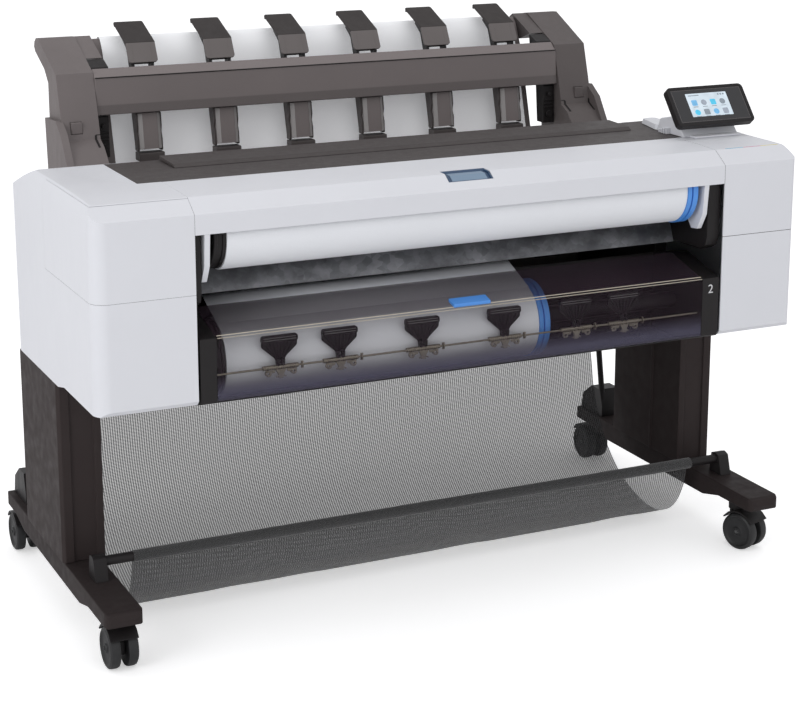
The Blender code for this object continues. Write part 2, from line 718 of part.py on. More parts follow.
def build_pinch_bar(span):
    """A rod with six spring-loaded paper guides."""
    y, z = PINCH_ROD
    rod = cylinder((sum(span) / 2, y, z), 0.0022, span[1] - span[0] - 0.001, sides=8)
    pieces = []
    for x in PINCH_PLACES:
        fan = [(x - 0.008, z + 0.012), (x + 0.008, z + 0.012), (x + 0.033, z + 0.040),
               (x + 0.034, z + 0.056), (x - 0.034, z + 0.056), (x - 0.033, z + 0.040)]
        stem = [(x - 0.006, z - 0.012), (x + 0.006, z - 0.012), (x + 0.007, z + 0.016),
                (x - 0.007, z + 0.016)]
        pieces.append(extrude(fan, (y + 0.001, y + 0.0075), "Y"))
        pieces.append(extrude(stem, (y - 0.003, y + 0.006), "Y"))
        pieces.append(box((x - 0.033, y - 0.0045, z - 0.004), (x + 0.033, y + 0.004, z + 0.004)))
    return join(rod, *pieces)


# Stacker.

def build_stacker(machine):
    """The stacker behind the printer: towers, bar, ribs, tray, sheet and arms."""
    for side, sign in both_sides():
        part(f"stacker_tower_{side}", build_tower(sign), "brown_plastic", machine)
        centre = Vector((sign * LATCH_X, 0.579, LATCH_Z))
        press = empty(f"latch_{side}_slide", centre, machine)
        half = Vector((LATCH_SIZE / 2, 0.005, LATCH_SIZE / 2))
        latch = box(centre - half, centre + half)
        part(f"latch_button_{side}", latch, "dark_plastic", press, bevel=0.001)

    between = (-TOWER_INNER + GAP, TOWER_INNER - GAP)
    bar = [(0.590, 0.884), (0.594, 0.905), (0.600, 0.954), (0.620, 0.971), (0.619, 0.965),
           (0.608, 0.950), (0.608, 0.884)]
    part("stacker_cross_bar", extrude(bar, between), "brown_plastic", machine)
    part("stacker_ribs", build_ribs(between), "brown_plastic", machine)

    tray = [(0.639, 0.776), (0.6640, 0.866), (0.6940, 0.960), (0.7150, 1.003), (0.7290, 1.0150),
            (0.7390, 1.009), (0.7330, 0.965), (0.700, 0.850), (0.660, 0.740)]
    part("stacker_tray", sheet(tray, (-0.470, 0.470), WALL), "brown_plastic", machine)
    paper = [(0.6370, 0.777), (0.6620, 0.867), (0.6920, 0.961), (0.7130, 1.0060),
             (0.7290, 1.0200), (0.7440, 1.012), (0.7400, 0.980)]
    half = PAPER_36 / 2
    part("printed_sheet", sheet(paper, (-half, half), 0.0006), "paper", machine)

    pivot = empty("arm_hinge", (0, *ARM_AXIS), machine)
    part("stacker_arms", build_arms(), "brown_plastic", pivot, pivot=(0, *ARM_AXIS))


def build_tower(sign):
    """One end tower with its foot bracket, its top shoulder and its latch pocket."""
    outline = [
        (0.5055, 0.640), (0.5055, 0.790), (0.548, 0.830), (0.572, 0.842), (0.585, 0.890),
        (0.608, 0.965), (0.650, 0.985), (0.728, 1.021), (0.744, 1.020), (0.756, 1.012), (DEPTH, 1.002),
        (0.753, 0.993), (0.690, 0.966), (0.665, 0.942), (0.665, 0.865), (0.652, 0.740), (0.625, 0.640)]
    tower = extrude(outline, (sign * TOWER_INNER, sign * TOWER_OUTER))
    bracket_outline = [
        (0.5055, 0.660), (0.5055, 0.790), (0.553, 0.858), (0.586, 0.880), (0.662, 0.876),
        (0.654, 0.780), (0.630, 0.660)]
    bracket = extrude(bracket_outline, (sign * (TOWER_OUTER - 0.004), sign * BRACKET_OUTER))
    shoulder_outline = [
        (0.656, 0.986), (0.736, 1.0205), (0.757, 1.008), (0.744, 0.970), (0.700, 0.970)]
    shoulder = extrude(shoulder_outline, (sign * 0.472, sign * (TOWER_INNER + 0.004)))
    middle = Vector((sign * LATCH_X, 0.580, LATCH_Z))
    reach = Vector((LATCH_SIZE / 2 + 0.0006, 0.012, LATCH_SIZE / 2 + 0.0006))
    pocket = box(middle - reach, middle + reach)
    return cut(join(tower, bracket, shoulder), pocket)


def build_ribs(between):
    """Six ribs that hang from a strip behind the cross bar."""
    strip = box((between[0], 0.6280, 0.900), (between[1], 0.6340, 0.945))
    outline = [
        (0.628, 0.940), (0.634, 0.940), (0.634, 0.875), (0.617, 0.812), (0.617, 0.788),
        (0.588, 0.788), (0.588, 0.812), (0.600, 0.8800), (0.628, 0.8835)]
    ribs = []
    for index in range(RIB_COUNT):
        x = (index - (RIB_COUNT - 1) / 2) * RIB_PITCH
        ribs.append(extrude(outline, (x - 0.026, x + 0.026)))
    return join(strip, *ribs)


def build_arms():
    """Six hold-down arms on one shaft."""
    shaft = cylinder((0, *ARM_AXIS), 0.005, 2 * (TOWER_INNER - 0.0015), sides=16)
    outline = [
        (0.6255, 0.976), (0.6455, 1.014), (0.725, 1.047), (0.737, 1.040), (0.735, 1.030),
        (0.662, 1.000), (0.650, 0.970), (0.645, 0.953), (0.635, 0.953)]
    arms = []
    for index in range(RIB_COUNT):
        x = (index - (RIB_COUNT - 1) / 2) * RIB_PITCH
        arms.append(extrude(outline, (x - 0.030, x + 0.030)))
    return join(shaft, *arms)


# Control panel.

def build_panel(machine):
    """The tilting touch panel and the base it stands on."""
    axis = (PANEL_CENTRE[0], *PANEL_AXIS)
    base = [
        (0.162, BODY_TOP + GAP), (0.262, BODY_TOP + GAP), (0.250, 0.858), (0.205, 0.868),
        (0.190, 0.872), (0.184, 0.866), (0.180, 0.850)]
    part("panel_base", extrude(base, (0.545, 0.672)), "white_cover", machine, bevel=0.002)

    pivot = empty("panel_hinge", axis, machine)
    width, height, depth = PANEL_SIZE
    shape = rounded((-width / 2, -height / 2), (width / 2, height / 2), 0.009, 4)
    housing = extrude(shape, (-depth, 0), "Z")
    well = box((-0.0815, -0.0375, -0.0016), (0.0815, 0.0375, 0.010))
    glass = box((-0.0812, -0.0372, -0.0013), (0.0812, 0.0372, -0.0001))
    stand_up = Matrix.Rotation(math.radians(90) - PANEL_LEAN, 4, "X")
    place = Matrix.Translation(PANEL_CENTRE) @ stand_up
    housing = cut(housing, well)
    for mesh in (housing, glass):
        mesh.transform(place)
    part("panel_housing", housing, "dark_plastic", pivot, pivot=axis)
    part("panel_screen", glass, "black_glass", pivot)


clear_scene()
PARTS = new_collection("large_format_plotter")
CUTTERS = new_collection("cutters")
MACHINE = empty("machine", (0, -DEPTH / 2, 0))
build_stand(MACHINE)
build_basket(MACHINE)
build_casters(MACHINE)
build_frame(MACHINE)
build_covers(MACHINE)
build_ink(MACHINE)
build_lid(MACHINE)
build_carriage(MACHINE)
build_roll("upper", UPPER_ROLL, UPPER_ROLL_RADIUS, (-PAPER_36 / 2, PAPER_36 / 2),
           (-0.4990, 0.5010), MACHINE)
build_drawer(MACHINE)
build_stacker(MACHINE)
build_panel(MACHINE)
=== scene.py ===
"""Looks for the large format plotter: materials, finer meshes, light and camera around the CAD."""

import json
import math

import bmesh
import bpy
from mathutils import Matrix, Vector


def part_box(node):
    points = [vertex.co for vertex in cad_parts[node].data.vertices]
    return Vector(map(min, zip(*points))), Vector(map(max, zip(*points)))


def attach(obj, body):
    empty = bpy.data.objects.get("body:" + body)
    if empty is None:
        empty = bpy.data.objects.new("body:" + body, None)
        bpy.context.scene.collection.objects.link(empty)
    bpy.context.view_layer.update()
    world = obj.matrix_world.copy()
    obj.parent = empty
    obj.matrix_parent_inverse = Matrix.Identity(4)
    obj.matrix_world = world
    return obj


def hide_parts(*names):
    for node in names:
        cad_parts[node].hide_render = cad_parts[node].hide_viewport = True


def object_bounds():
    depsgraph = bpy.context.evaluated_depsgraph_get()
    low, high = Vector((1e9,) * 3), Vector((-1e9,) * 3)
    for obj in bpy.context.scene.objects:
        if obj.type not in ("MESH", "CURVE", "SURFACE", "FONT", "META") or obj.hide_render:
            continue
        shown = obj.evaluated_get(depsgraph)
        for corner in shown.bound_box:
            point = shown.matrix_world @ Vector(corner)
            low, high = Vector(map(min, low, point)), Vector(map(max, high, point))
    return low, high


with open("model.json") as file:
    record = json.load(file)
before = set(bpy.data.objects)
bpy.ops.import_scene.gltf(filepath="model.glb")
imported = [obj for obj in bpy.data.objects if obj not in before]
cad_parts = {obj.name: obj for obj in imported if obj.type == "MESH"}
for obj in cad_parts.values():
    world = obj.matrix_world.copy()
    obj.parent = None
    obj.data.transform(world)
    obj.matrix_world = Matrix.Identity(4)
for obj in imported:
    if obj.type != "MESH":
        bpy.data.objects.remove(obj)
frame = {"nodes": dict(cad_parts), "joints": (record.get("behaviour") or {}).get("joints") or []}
CAD_LOW, CAD_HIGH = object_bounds()
FRONT = CAD_LOW.y
NODES = frame["nodes"]


# Node materials.

class Graph:
    """A material's node graph, built around its Principled shader."""

    def __init__(self, name, **sockets):
        self.material = bpy.data.materials.new(name)
        self.material.use_nodes = True
        self.tree = self.material.node_tree
        self.shader = self.tree.nodes["Principled BSDF"]
        for socket, value in sockets.items():
            self.shader.inputs[socket.replace("_", " ")].default_value = value
        self.place = self.node("ShaderNodeTexCoord").outputs["Object"]

    def node(self, kind, inputs=None, **settings):
        """Add a node, set its properties, and link or set its inputs."""
        made = self.tree.nodes.new(kind)
        for key, value in settings.items():
            setattr(made, key, value)
        for key, value in (inputs or {}).items():
            self.feed(made.inputs[key], value)
        return made

    def feed(self, socket, value):
        """Link a socket to an output, or set its value."""
        if isinstance(value, bpy.types.NodeSocket):
            self.tree.links.new(value, socket)
        else:
            socket.default_value = value

    def stretched(self, scale):
        """Return the object coordinates, scaled per axis."""
        return self.node("ShaderNodeMapping", {"Vector": self.place, "Scale": scale}).outputs[0]

    def noise(self, scale, detail=2.0, vector=None, roughness=0.5):
        """Return the value of a noise texture."""
        return self.node("ShaderNodeTexNoise", {
            "Vector": vector or self.place, "Scale": scale, "Detail": detail,
            "Roughness": roughness}).outputs["Fac"]

    def span(self, value, low, high, start=0.3, stop=0.7):
        """Return a value moved to a new range."""
        return self.node("ShaderNodeMapRange", {
            "Value": value, "From Min": start, "From Max": stop,
            "To Min": low, "To Max": high}).outputs["Result"]

    def math(self, operation, first, second=0.0):
        """Return the result of a math node."""
        return self.node("ShaderNodeMath", {0: first, 1: second}, operation=operation).outputs[0]

    def mix(self, factor, first, second):
        """Return a mix of two colours."""
        made = self.node("ShaderNodeMix", data_type="RGBA")
        self.feed(made.inputs["Factor"], factor)
        self.feed(made.inputs["A"], first)
        self.feed(made.inputs["B"], second)
        return made.outputs["Result"]

    def tones(self, value, colour, low, high):
        """Return a colour that runs between two shades of itself."""
        return self.mix(self.span(value, 0.0, 1.0), shade(colour, low), shade(colour, high))

    def height(self):
        """Return the height above the floor."""
        return self.node("ShaderNodeSeparateXYZ", {0: self.place}).outputs["Z"]

    def flecks(self, scale):
        """Return the distance from the nearest of many scattered points."""
        return self.node("ShaderNodeTexVoronoi", {
            "Vector": self.place, "Scale": scale}).outputs["Distance"]

    def bump(self, height, distance):
        """Drive the shader's normal from a height."""
        made = self.node("ShaderNodeBump", {"Height": height, "Distance": distance})
        self.tree.links.new(made.outputs["Normal"], self.shader.inputs["Normal"])

    def colour(self, value):
        """Drive the shader's base colour."""
        self.feed(self.shader.inputs["Base Color"], value)

    def roughness(self, value):
        """Drive the shader's roughness."""
        self.feed(self.shader.inputs["Roughness"], value)


def shade(colour, factor):
    """Return a colour made lighter or darker, with its alpha."""
    return tuple(min(1.0, channel * factor) for channel in colour[:3]) + (1.0,)


def plastic(name, colour, rough, grain=1500.0, depth=0.00006, tone=0.05, **sockets):
    """Moulded plastic: a fine spark-eroded grain, faint mottling and handling marks."""
    graph = Graph(name, **sockets)
    broad = graph.noise(9.0, 4.0)
    fine = graph.noise(grain, 2.0)
    mottled = graph.tones(broad, colour, 1 - tone, 1 + tone)
    speckled = graph.mix(graph.span(fine, 0.0, 0.5), mottled, shade(colour, 1 - 2 * tone))
    graph.colour(speckled)
    scuffs = graph.noise(60.0, 6.0, graph.stretched((1.0, 1.0, 0.35)), 0.65)
    graph.roughness(graph.span(scuffs, rough - 0.06, rough + 0.10, 0.25, 0.75))
    graph.bump(fine, depth)
    return graph.material


def moulded(name, colour, gloss=0.3, rough=0.50):
    """The coarser, duller plastic of the brown parts."""
    return plastic(name, colour, rough, 1100.0, 0.00012, 0.06, Specular_IOR_Level=gloss)


def banded(name, colour, rough, low, high):
    """Moulded plastic with painted shade on its lower band, where it turns under out of the light, and a
    painted highlight on its top ledge.
    """
    graph = Graph(name, Specular_IOR_Level=0.3)
    height = graph.height()
    broad, fine = graph.noise(9.0, 4.0), graph.noise(1100.0, 2.0)
    tone = graph.tones(broad, colour, 0.95, 1.06)
    # Painted shade: darker below the underside line, where the bar turns away from the light.
    tone = graph.mix(graph.span(height, 1.0, 0.0, low, low + 0.002), tone, shade(colour, 0.62))
    # Painted highlight: lighter above the ledge line, where the top faces the light.
    tone = graph.mix(graph.span(height, 0.0, 1.0, high, high + 0.001), tone, shade(colour, 1.35))
    graph.colour(graph.mix(graph.span(fine, 0.0, 0.5), tone, shade(colour, 0.88)))
    graph.roughness(graph.span(broad, rough - 0.06, rough + 0.10))
    graph.bump(fine, 0.00012)
    return graph.material


def coated_steel(name, colour, rough):
    """Powder-coated sheet steel: orange peel with fine flecks."""
    graph = Graph(name, Specular_IOR_Level=0.12)
    peel = graph.noise(420.0, 2.0)
    fleck = graph.flecks(2600.0)
    tint = graph.tones(graph.noise(6.0, 4.0), colour, 0.96, 1.05)
    graph.colour(graph.mix(graph.span(fleck, 0.35, 0.0, 0.05, 0.30), tint, shade(colour, 1.7)))
    graph.roughness(graph.span(graph.noise(45.0, 5.0), rough - 0.05, rough + 0.12))
    graph.bump(peel, 0.00012)
    return graph.material


def galvanised(name):
    """Zinc-coated sheet: a spangle of pale and dark crystals with soft stains."""
    graph = Graph(name, Metallic=0.45)
    cells = graph.node("ShaderNodeTexVoronoi", {"Vector": graph.place, "Scale": 75.0, "Randomness": 1.0})
    crystals = graph.node("ShaderNodeSeparateColor", {0: cells.outputs["Color"]}).outputs["Red"]
    stains = graph.noise(14.0, 6.0, graph.stretched((0.7, 1.0, 1.0)), 0.62)
    dull, bright = (0.150, 0.154, 0.165, 1), (0.400, 0.406, 0.430, 1)
    grey = graph.mix(graph.span(crystals, 0.15, 0.65, 0.0, 1.0), dull, bright)
    graph.colour(graph.mix(graph.span(stains, 0.0, 0.85, 0.38, 0.66), grey, (0.080, 0.082, 0.090, 1)))
    graph.roughness(graph.span(crystals, 0.34, 0.55, 0.0, 1.0))
    graph.bump(graph.noise(300.0, 3.0), 0.00008)
    return graph.material


def brushed(name, colour, along=(0.02, 1.0, 1.0), rough=0.30):
    """Metal drawn along X: long fine scratches."""
    graph = Graph(name, Metallic=0.95)
    lines = graph.noise(900.0, 3.0, graph.stretched(along))
    graph.colour(graph.tones(lines, colour, 0.72, 1.10))
    graph.roughness(graph.span(lines, rough - 0.06, rough + 0.14))
    graph.bump(lines, 0.00003)
    return graph.material


def paper(name, colour, glow=0.0):
    """Coated paper: short fibres and a faint cloudiness, with a painted glow where a glow strength is
    given.
    """
    # The emission is a painted glow, not a lamp.
    graph = Graph(name, Emission_Color=(0.96, 0.97, 1.0, 1), Emission_Strength=glow)
    fibre = graph.noise(700.0, 5.0, graph.stretched((0.4, 1.0, 1.0)), 0.7)
    cloud = graph.noise(5.0, 3.0)
    tone = graph.tones(cloud, colour, 0.975, 1.01)
    graph.colour(graph.mix(graph.span(fibre, 0.0, 0.35), tone, shade(colour, 0.93)))
    graph.roughness(graph.span(fibre, 0.70, 0.88))
    graph.bump(fibre, 0.00004)
    return graph.material


def rubber(name, colour, rough):
    """Caster tread and hard black rubber: dusty and slightly scuffed."""
    graph = Graph(name)
    dust = graph.noise(120.0, 6.0, None, 0.7)
    graph.colour(graph.mix(graph.span(dust, 0.0, 0.7, 0.45, 0.75), shade(colour, 1.0), shade(colour, 2.2)))
    graph.roughness(graph.span(dust, rough, rough + 0.18))
    graph.bump(graph.noise(1500.0, 2.0), 0.00008)
    return graph.material


WINDOW_TOP = 0.590
# Heights over which the window's foot darkens: its own tint with painted shade of the roll curving away
# behind it.
WINDOW_FOOT_TINT_AND_SHADE = (0.492, 0.522)


def smoked(name, tint, alpha):
    """Smoked clear plastic: tinted, glossy, with faint hairline scratches."""
    graph = Graph(name, Specular_IOR_Level=0.12)
    lines = graph.noise(260.0, 4.0, graph.stretched((0.06, 1.0, 1.0)), 0.6)
    cloud = graph.noise(7.0, 3.0)
    height = graph.height()
    # Towards its foot the window turns a more opaque lilac: partly its own tint, partly painted shade of
    # the roll behind.
    foot = graph.span(height, 1.0, 0.0, *WINDOW_FOOT_TINT_AND_SHADE)
    tone = graph.tones(cloud, tint, 0.9, 1.15)
    graph.colour(graph.mix(foot, tone, (0.125, 0.118, 0.175, 1)))
    above = graph.span(height, alpha, alpha + 0.26, WINDOW_TOP, WINDOW_TOP + 0.0025)
    graph.feed(graph.shader.inputs["Alpha"], graph.math("ADD", above, graph.math("MULTIPLY", foot, 0.22)))
    graph.roughness(graph.span(lines, 0.10, 0.20))
    return graph.material


def glass(name, colour):
    """Black touch glass: deep and glossy with faint finger marks."""
    graph = Graph(name, Coat_Weight=0.6, Coat_Roughness=0.03)
    marks = graph.noise(40.0, 5.0, None, 0.6)
    graph.colour(graph.tones(marks, colour, 0.8, 1.6))
    graph.roughness(graph.span(marks, 0.05, 0.16))
    return graph.material


BROWN_TINT = (0.170, 0.148, 0.146)
WHITE = plastic("moulded_white", (0.735, 0.745, 0.785), 0.42, 1400.0, 0.00005, 0.012)
BROWN = moulded("moulded_brown", BROWN_TINT)
# A darker copy of the brown: painted shade for the right-hand parts, which the light reaches less.
BROWN_PAINTED_SHADE = moulded("brown_with_painted_shade", (0.112, 0.097, 0.095))
BAR_UNDERSIDE, BAR_LEDGE = 0.9015, 0.9545
# The bar's lower band carries painted shade and its top ledge a painted highlight.
BAR = banded("moulded_bar_brown", BROWN_TINT, 0.50, BAR_UNDERSIDE, BAR_LEDGE)
UMBER = moulded("moulded_dark_brown", (0.062, 0.053, 0.052))
FLAP = moulded("moulded_flap_brown", (0.040, 0.034, 0.033), 0.2)
PLATE = moulded("moulded_light_brown", (0.150, 0.134, 0.131), rough=0.48)
# Painted highlight for the narrow chamfers down the sides of the ribs.
RIB_EDGE_HIGHLIGHT = plastic("rib_edge_painted_highlight", (0.270, 0.255, 0.252), 0.42, 1100.0, 0.00008, 0.06)
DARK = plastic("moulded_black", (0.016, 0.0140, 0.0145), 0.42, 1300.0, 0.00008, 0.08,
               Specular_IOR_Level=0.25)
LEG = coated_steel("coated_leg_steel", (0.037, 0.0285, 0.0280), 0.52)
FOOT = coated_steel("coated_foot_steel", (0.031, 0.0240, 0.0238), 0.55)
ZINC = galvanised("galvanised_sheet")
STEEL = brushed("drawn_steel", (0.50, 0.50, 0.50))
BRASS = brushed("passivated_steel", (0.30, 0.27, 0.22), (1.0, 0.4, 1.0), 0.36)
FAN = plastic("moulded_fan_black", (0.0075, 0.0070, 0.0075), 0.34, 1300.0, 0.00006, 0.08,
              Specular_IOR_Level=0.2)
# Paler grey for the two ridges along the fans' top bars.
RIDGE = plastic("pale_grey_ridge", (0.16, 0.155, 0.155), 0.38, 1300.0, 0.00006, 0.08)
PAPER = paper("coated_paper", (0.84, 0.855, 0.89))
# The stacked sheet's paper glows a little: painted light that brightens it in the cross bar's shade.
PAPER_PAINTED_GLOW = paper("brightened_paper", (0.88, 0.885, 0.90), 0.16)
BLUE = plastic("moulded_blue", (0.085, 0.30, 0.78), 0.34, 1400.0, 0.00004, 0.04)
SMOKED = smoked("smoked_window", (0.050, 0.034, 0.046), 0.15)
GLASS = glass("touch_glass", (0.006, 0.006, 0.008))
RUBBER = rubber("caster_black", (0.012, 0.012, 0.013), 0.42)
# Painted highlight along the window's top front edges.
WINDOW_EDGE_HIGHLIGHT = plastic("painted_edge_highlight", (0.62, 0.56, 0.46), 0.22, 900.0, 0.00002, 0.06)
PRINT = plastic("printed_white", (0.70, 0.70, 0.72), 0.55, 1800.0, 0.00002, 0.03)

FINISHES = {
    "white_cover": WHITE, "brown_plastic": BROWN, "dark_plastic": DARK, "leg_metal": LEG,
    "galvanised": ZINC, "steel": STEEL, "paper": PAPER, "blue_plastic": BLUE,
    "smoked_clear": SMOKED, "black_glass": GLASS, "caster_rubber": RUBBER, "basket_mesh": DARK,
}


def soften(item, width, segments=2, angle=32):
    """Round an object's sharp edges and smooth the rest."""
    edge = item.modifiers.new("soft_edges", "BEVEL")
    edge.width = width
    edge.segments = segments
    edge.limit_method = "ANGLE"
    edge.angle_limit = math.radians(angle)
    edge.use_clamp_overlap = True
    edge.harden_normals = False
    normal = item.modifiers.new("even_shading", "WEIGHTED_NORMAL")
    normal.keep_sharp = True


SOFT_EDGES = {
    "cover_left": 0.0014, "ink_door": 0.0014, "cover_right_upper": 0.0014,
    "cover_right_lower": 0.0014, "lid": 0.0013, "deck": 0.0012, "deck_flap": 0.0012,
    "foot_left": 0.0035, "foot_right": 0.0035, "column_left": 0.0015, "column_right": 0.0015,
    "stacker_tower_left": 0.0035, "stacker_tower_right": 0.0035, "stacker_cross_bar": 0.0020,
    "panel_housing": 0.0014, "panel_base": 0.0020, "basket_post_left": 0.0020,
    "basket_post_right": 0.0020, "drawer_window": 0.0008, "drawer_tray": 0.0012,
    "paper_beam": 0.0006, "printed_sheet": 0, "drawer_paper_web": 0,
    "upper_paper_roll": 0.0004, "lower_paper_roll": 0.0004,
}

OTHER_FINISHES = {
    "deck": UMBER, "deck_flap": UMBER, "foot_left": FOOT, "foot_right": FOOT,
    # The right latch button and the right tower take the brown with painted shade.
    "latch_button_left": BROWN, "latch_button_right": BROWN_PAINTED_SHADE, "stacker_cross_bar": BAR,
    "stacker_tower_right": BROWN_PAINTED_SHADE,
}


def finish_cad_node(name, item):
    """Give a carried-over CAD node soft edges and its procedural material."""
    mesh = item.data
    mesh.polygons.foreach_set("use_smooth", [True] * len(mesh.polygons))
    weld = item.modifiers.new("weld", "WELD")
    weld.merge_threshold = 0.00002
    flat = item.modifiers.new("merge_flats", "DECIMATE")
    flat.decimate_type = "DISSOLVE"
    flat.angle_limit = math.radians(1.0)
    width = SOFT_EDGES.get(name, 0.0010)
    if width:
        soften(item, width)
    slot_name = mesh.materials[0].name.split(".")[0]
    mesh.materials[0] = OTHER_FINISHES.get(name) or FINISHES[slot_name]


for node_name, node_item in NODES.items():
    finish_cad_node(node_name, node_item)


# Finer meshes.

def across(axis, u, v, level):
    """Return a point of an outline at a level along an axis."""
    return {"X": (level, u, v), "Y": (u, level, v), "Z": (u, v, level)}[axis]


def fillet(outline, steps=4):
    """Round an outline's corners that carry a radius as a third number."""
    smooth = []
    for index, corner in enumerate(outline):
        if len(corner) < 3:
            smooth.append(tuple(corner))
            continue
        here = Vector(corner[:2])
        before = (Vector(outline[index - 1][:2]) - here).normalized()
        after = (Vector(outline[(index + 1) % len(outline)][:2]) - here).normalized()
        half = before.angle(after) / 2
        reach = corner[2] / math.tan(half)
        start, stop = here + before * reach, here + after * reach
        for step in range(steps + 1):
            t = step / steps
            bend = start.lerp(here, t).lerp(here.lerp(stop, t), t)
            smooth.append(tuple(bend))
    return smooth


def oblong(left, right, bottom, top, radius=0.0):
    """Return a rectangle's outline, with rounded corners if asked."""
    corners = [(left, bottom), (right, bottom), (right, top), (left, top)]
    return [(*corner, radius) for corner in corners] if radius else corners


def mirrored(half):
    """Return a closed outline from its right half, listed upwards."""
    return half + [(-point[0], *point[1:]) for point in reversed(half)]


def drum(half, radius):
    """Return the profile of a plain solid cylinder, for turning."""
    return [(-half, 0.0), (-half, radius), (half, radius), (half, 0.0)]


def curve_through(points, steps=6):
    """Return a smooth path through points, by Catmull-Rom arcs."""
    path = []
    padded_points = [points[0], *points, points[-1]]
    for a, b, c, d in zip(padded_points, padded_points[1:], padded_points[2:], padded_points[3:]):
        a, b, c, d = Vector(a), Vector(b), Vector(c), Vector(d)
        for step in range(steps):
            t = step / steps
            path.append(tuple(0.5 * (2 * b + (c - a) * t + (2 * a - 5 * b + 4 * c - d) * t * t
                                     + (3 * b - a - 3 * c + d) * t ** 3)))
    path.append(tuple(points[-1]))
    return path


def linked(name, data):
    """Return a new object, linked to the scene."""
    item = bpy.data.objects.new(name, data)
    bpy.context.scene.collection.objects.link(item)
    return item


NEAR_AXIS = 1e-6


class Shape:
    """A mesh that gathers solids, measured from the machine's front face."""

    def __init__(self):
        self.work = bmesh.new()
        self.slot = 0
        self.turn = Matrix.Identity(4)

    def vertex(self, place):
        """Add a vertex in the shape's current frame."""
        return self.work.verts.new(self.turn @ Vector(place))

    def face(self, corners):
        """Add a face with the current material."""
        made = self.work.faces.new(corners)
        made.material_index = self.slot
        return made

    def prism(self, outline, span, axis="X", taper=1.0):
        """An outline, filleted where it says, carried along an axis, with a taper if asked."""
        outline = fillet(outline)
        low, high = sorted(span)
        middle = [sum(point[i] for point in outline) / len(outline) for i in (0, 1)]
        near = [self.vertex(across(axis, u, v, low)) for u, v in outline]
        far = [self.vertex(across(axis, middle[0] + (u - middle[0]) * taper,
                                  middle[1] + (v - middle[1]) * taper, high)) for u, v in outline]
        self.face(near)
        self.face(far)
        for index, corner in enumerate(near):
            self.face((near[index - 1], corner, far[index], far[index - 1]))

    def box(self, low, high, radius=0.0):
        """A box between two corners, with rounded upright edges if asked."""
        self.prism(oblong(low[0], high[0], low[1], high[1], radius), (low[2], high[2]), "Z")

    def turned(self, profile, centre, axis="X", sides=72):
        """A closed profile of (along, radius) turned about an axis."""
        rings = []
        for along, radius in profile:
            if radius < NEAR_AXIS:
                spot = self.vertex([c + o for c, o in zip(centre, across(axis, 0, 0, along))])
                rings.append([spot] * sides)
                continue
            ring = []
            for side in range(sides):
                angle = math.tau * side / sides
                offset = across(axis, radius * math.cos(angle), radius * math.sin(angle), along)
                ring.append(self.vertex([c + o for c, o in zip(centre, offset)]))
            rings.append(ring)
        closed = profile[0][1] > NEAR_AXIS
        pairs = list(zip(rings, rings[1:])) + ([(rings[-1], rings[0])] if closed else [])
        for first, second in pairs:
            for side in range(sides):
                ahead = (side + 1) % sides
                corners = (first[side], first[ahead], second[ahead], second[side])
                self.face(list(dict.fromkeys(corners)))

    def rod(self, points, radius, sides=12):
        """A round rod along a path, with domed ends."""
        places = [Vector(point) for point in points]
        rings = []
        for index, place in enumerate(places):
            ahead = places[min(index + 1, len(places) - 1)] - places[max(index - 1, 0)]
            frame_turn = ahead.to_track_quat("Z", "Y")
            rings.append([self.vertex(place + frame_turn @ Vector(
                (radius * math.cos(math.tau * s / sides), radius * math.sin(math.tau * s / sides), 0)))
                for s in range(sides)])
        self.face(rings[0])
        self.face(rings[-1])
        for first, second in zip(rings, rings[1:]):
            for side in range(sides):
                ahead = (side + 1) % sides
                self.face((first[side], first[ahead], second[ahead], second[side]))

    def piece(self, name, body, slot, materials, bevel=0.0, segments=2, stands_for=(), angle=32):
        """Finish the mesh as a piece that rides on a body."""
        bmesh.ops.recalc_face_normals(self.work, faces=self.work.faces)
        bmesh.ops.translate(self.work, vec=(0, FRONT, 0), verts=self.work.verts)
        mesh = bpy.data.meshes.new(name)
        self.work.to_mesh(mesh)
        self.work.free()
        mesh.shade_smooth()
        mesh.set_sharp_from_angle(angle=math.radians(angle))
        item = linked(name, mesh)
        for material in materials:
            mesh.materials.append(material)
        if bevel:
            soften(item, bevel, segments, angle)
        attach(item, body)
        if stands_for:
            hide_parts(*stands_for)
        return item


def corner_of(node):
    """Return a CAD node's low and high corners, measured from the front face."""
    low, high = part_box(node)
    shift = Vector((0, FRONT, 0))
    return Vector(low) - shift, Vector(high) - shift


# Rolls.

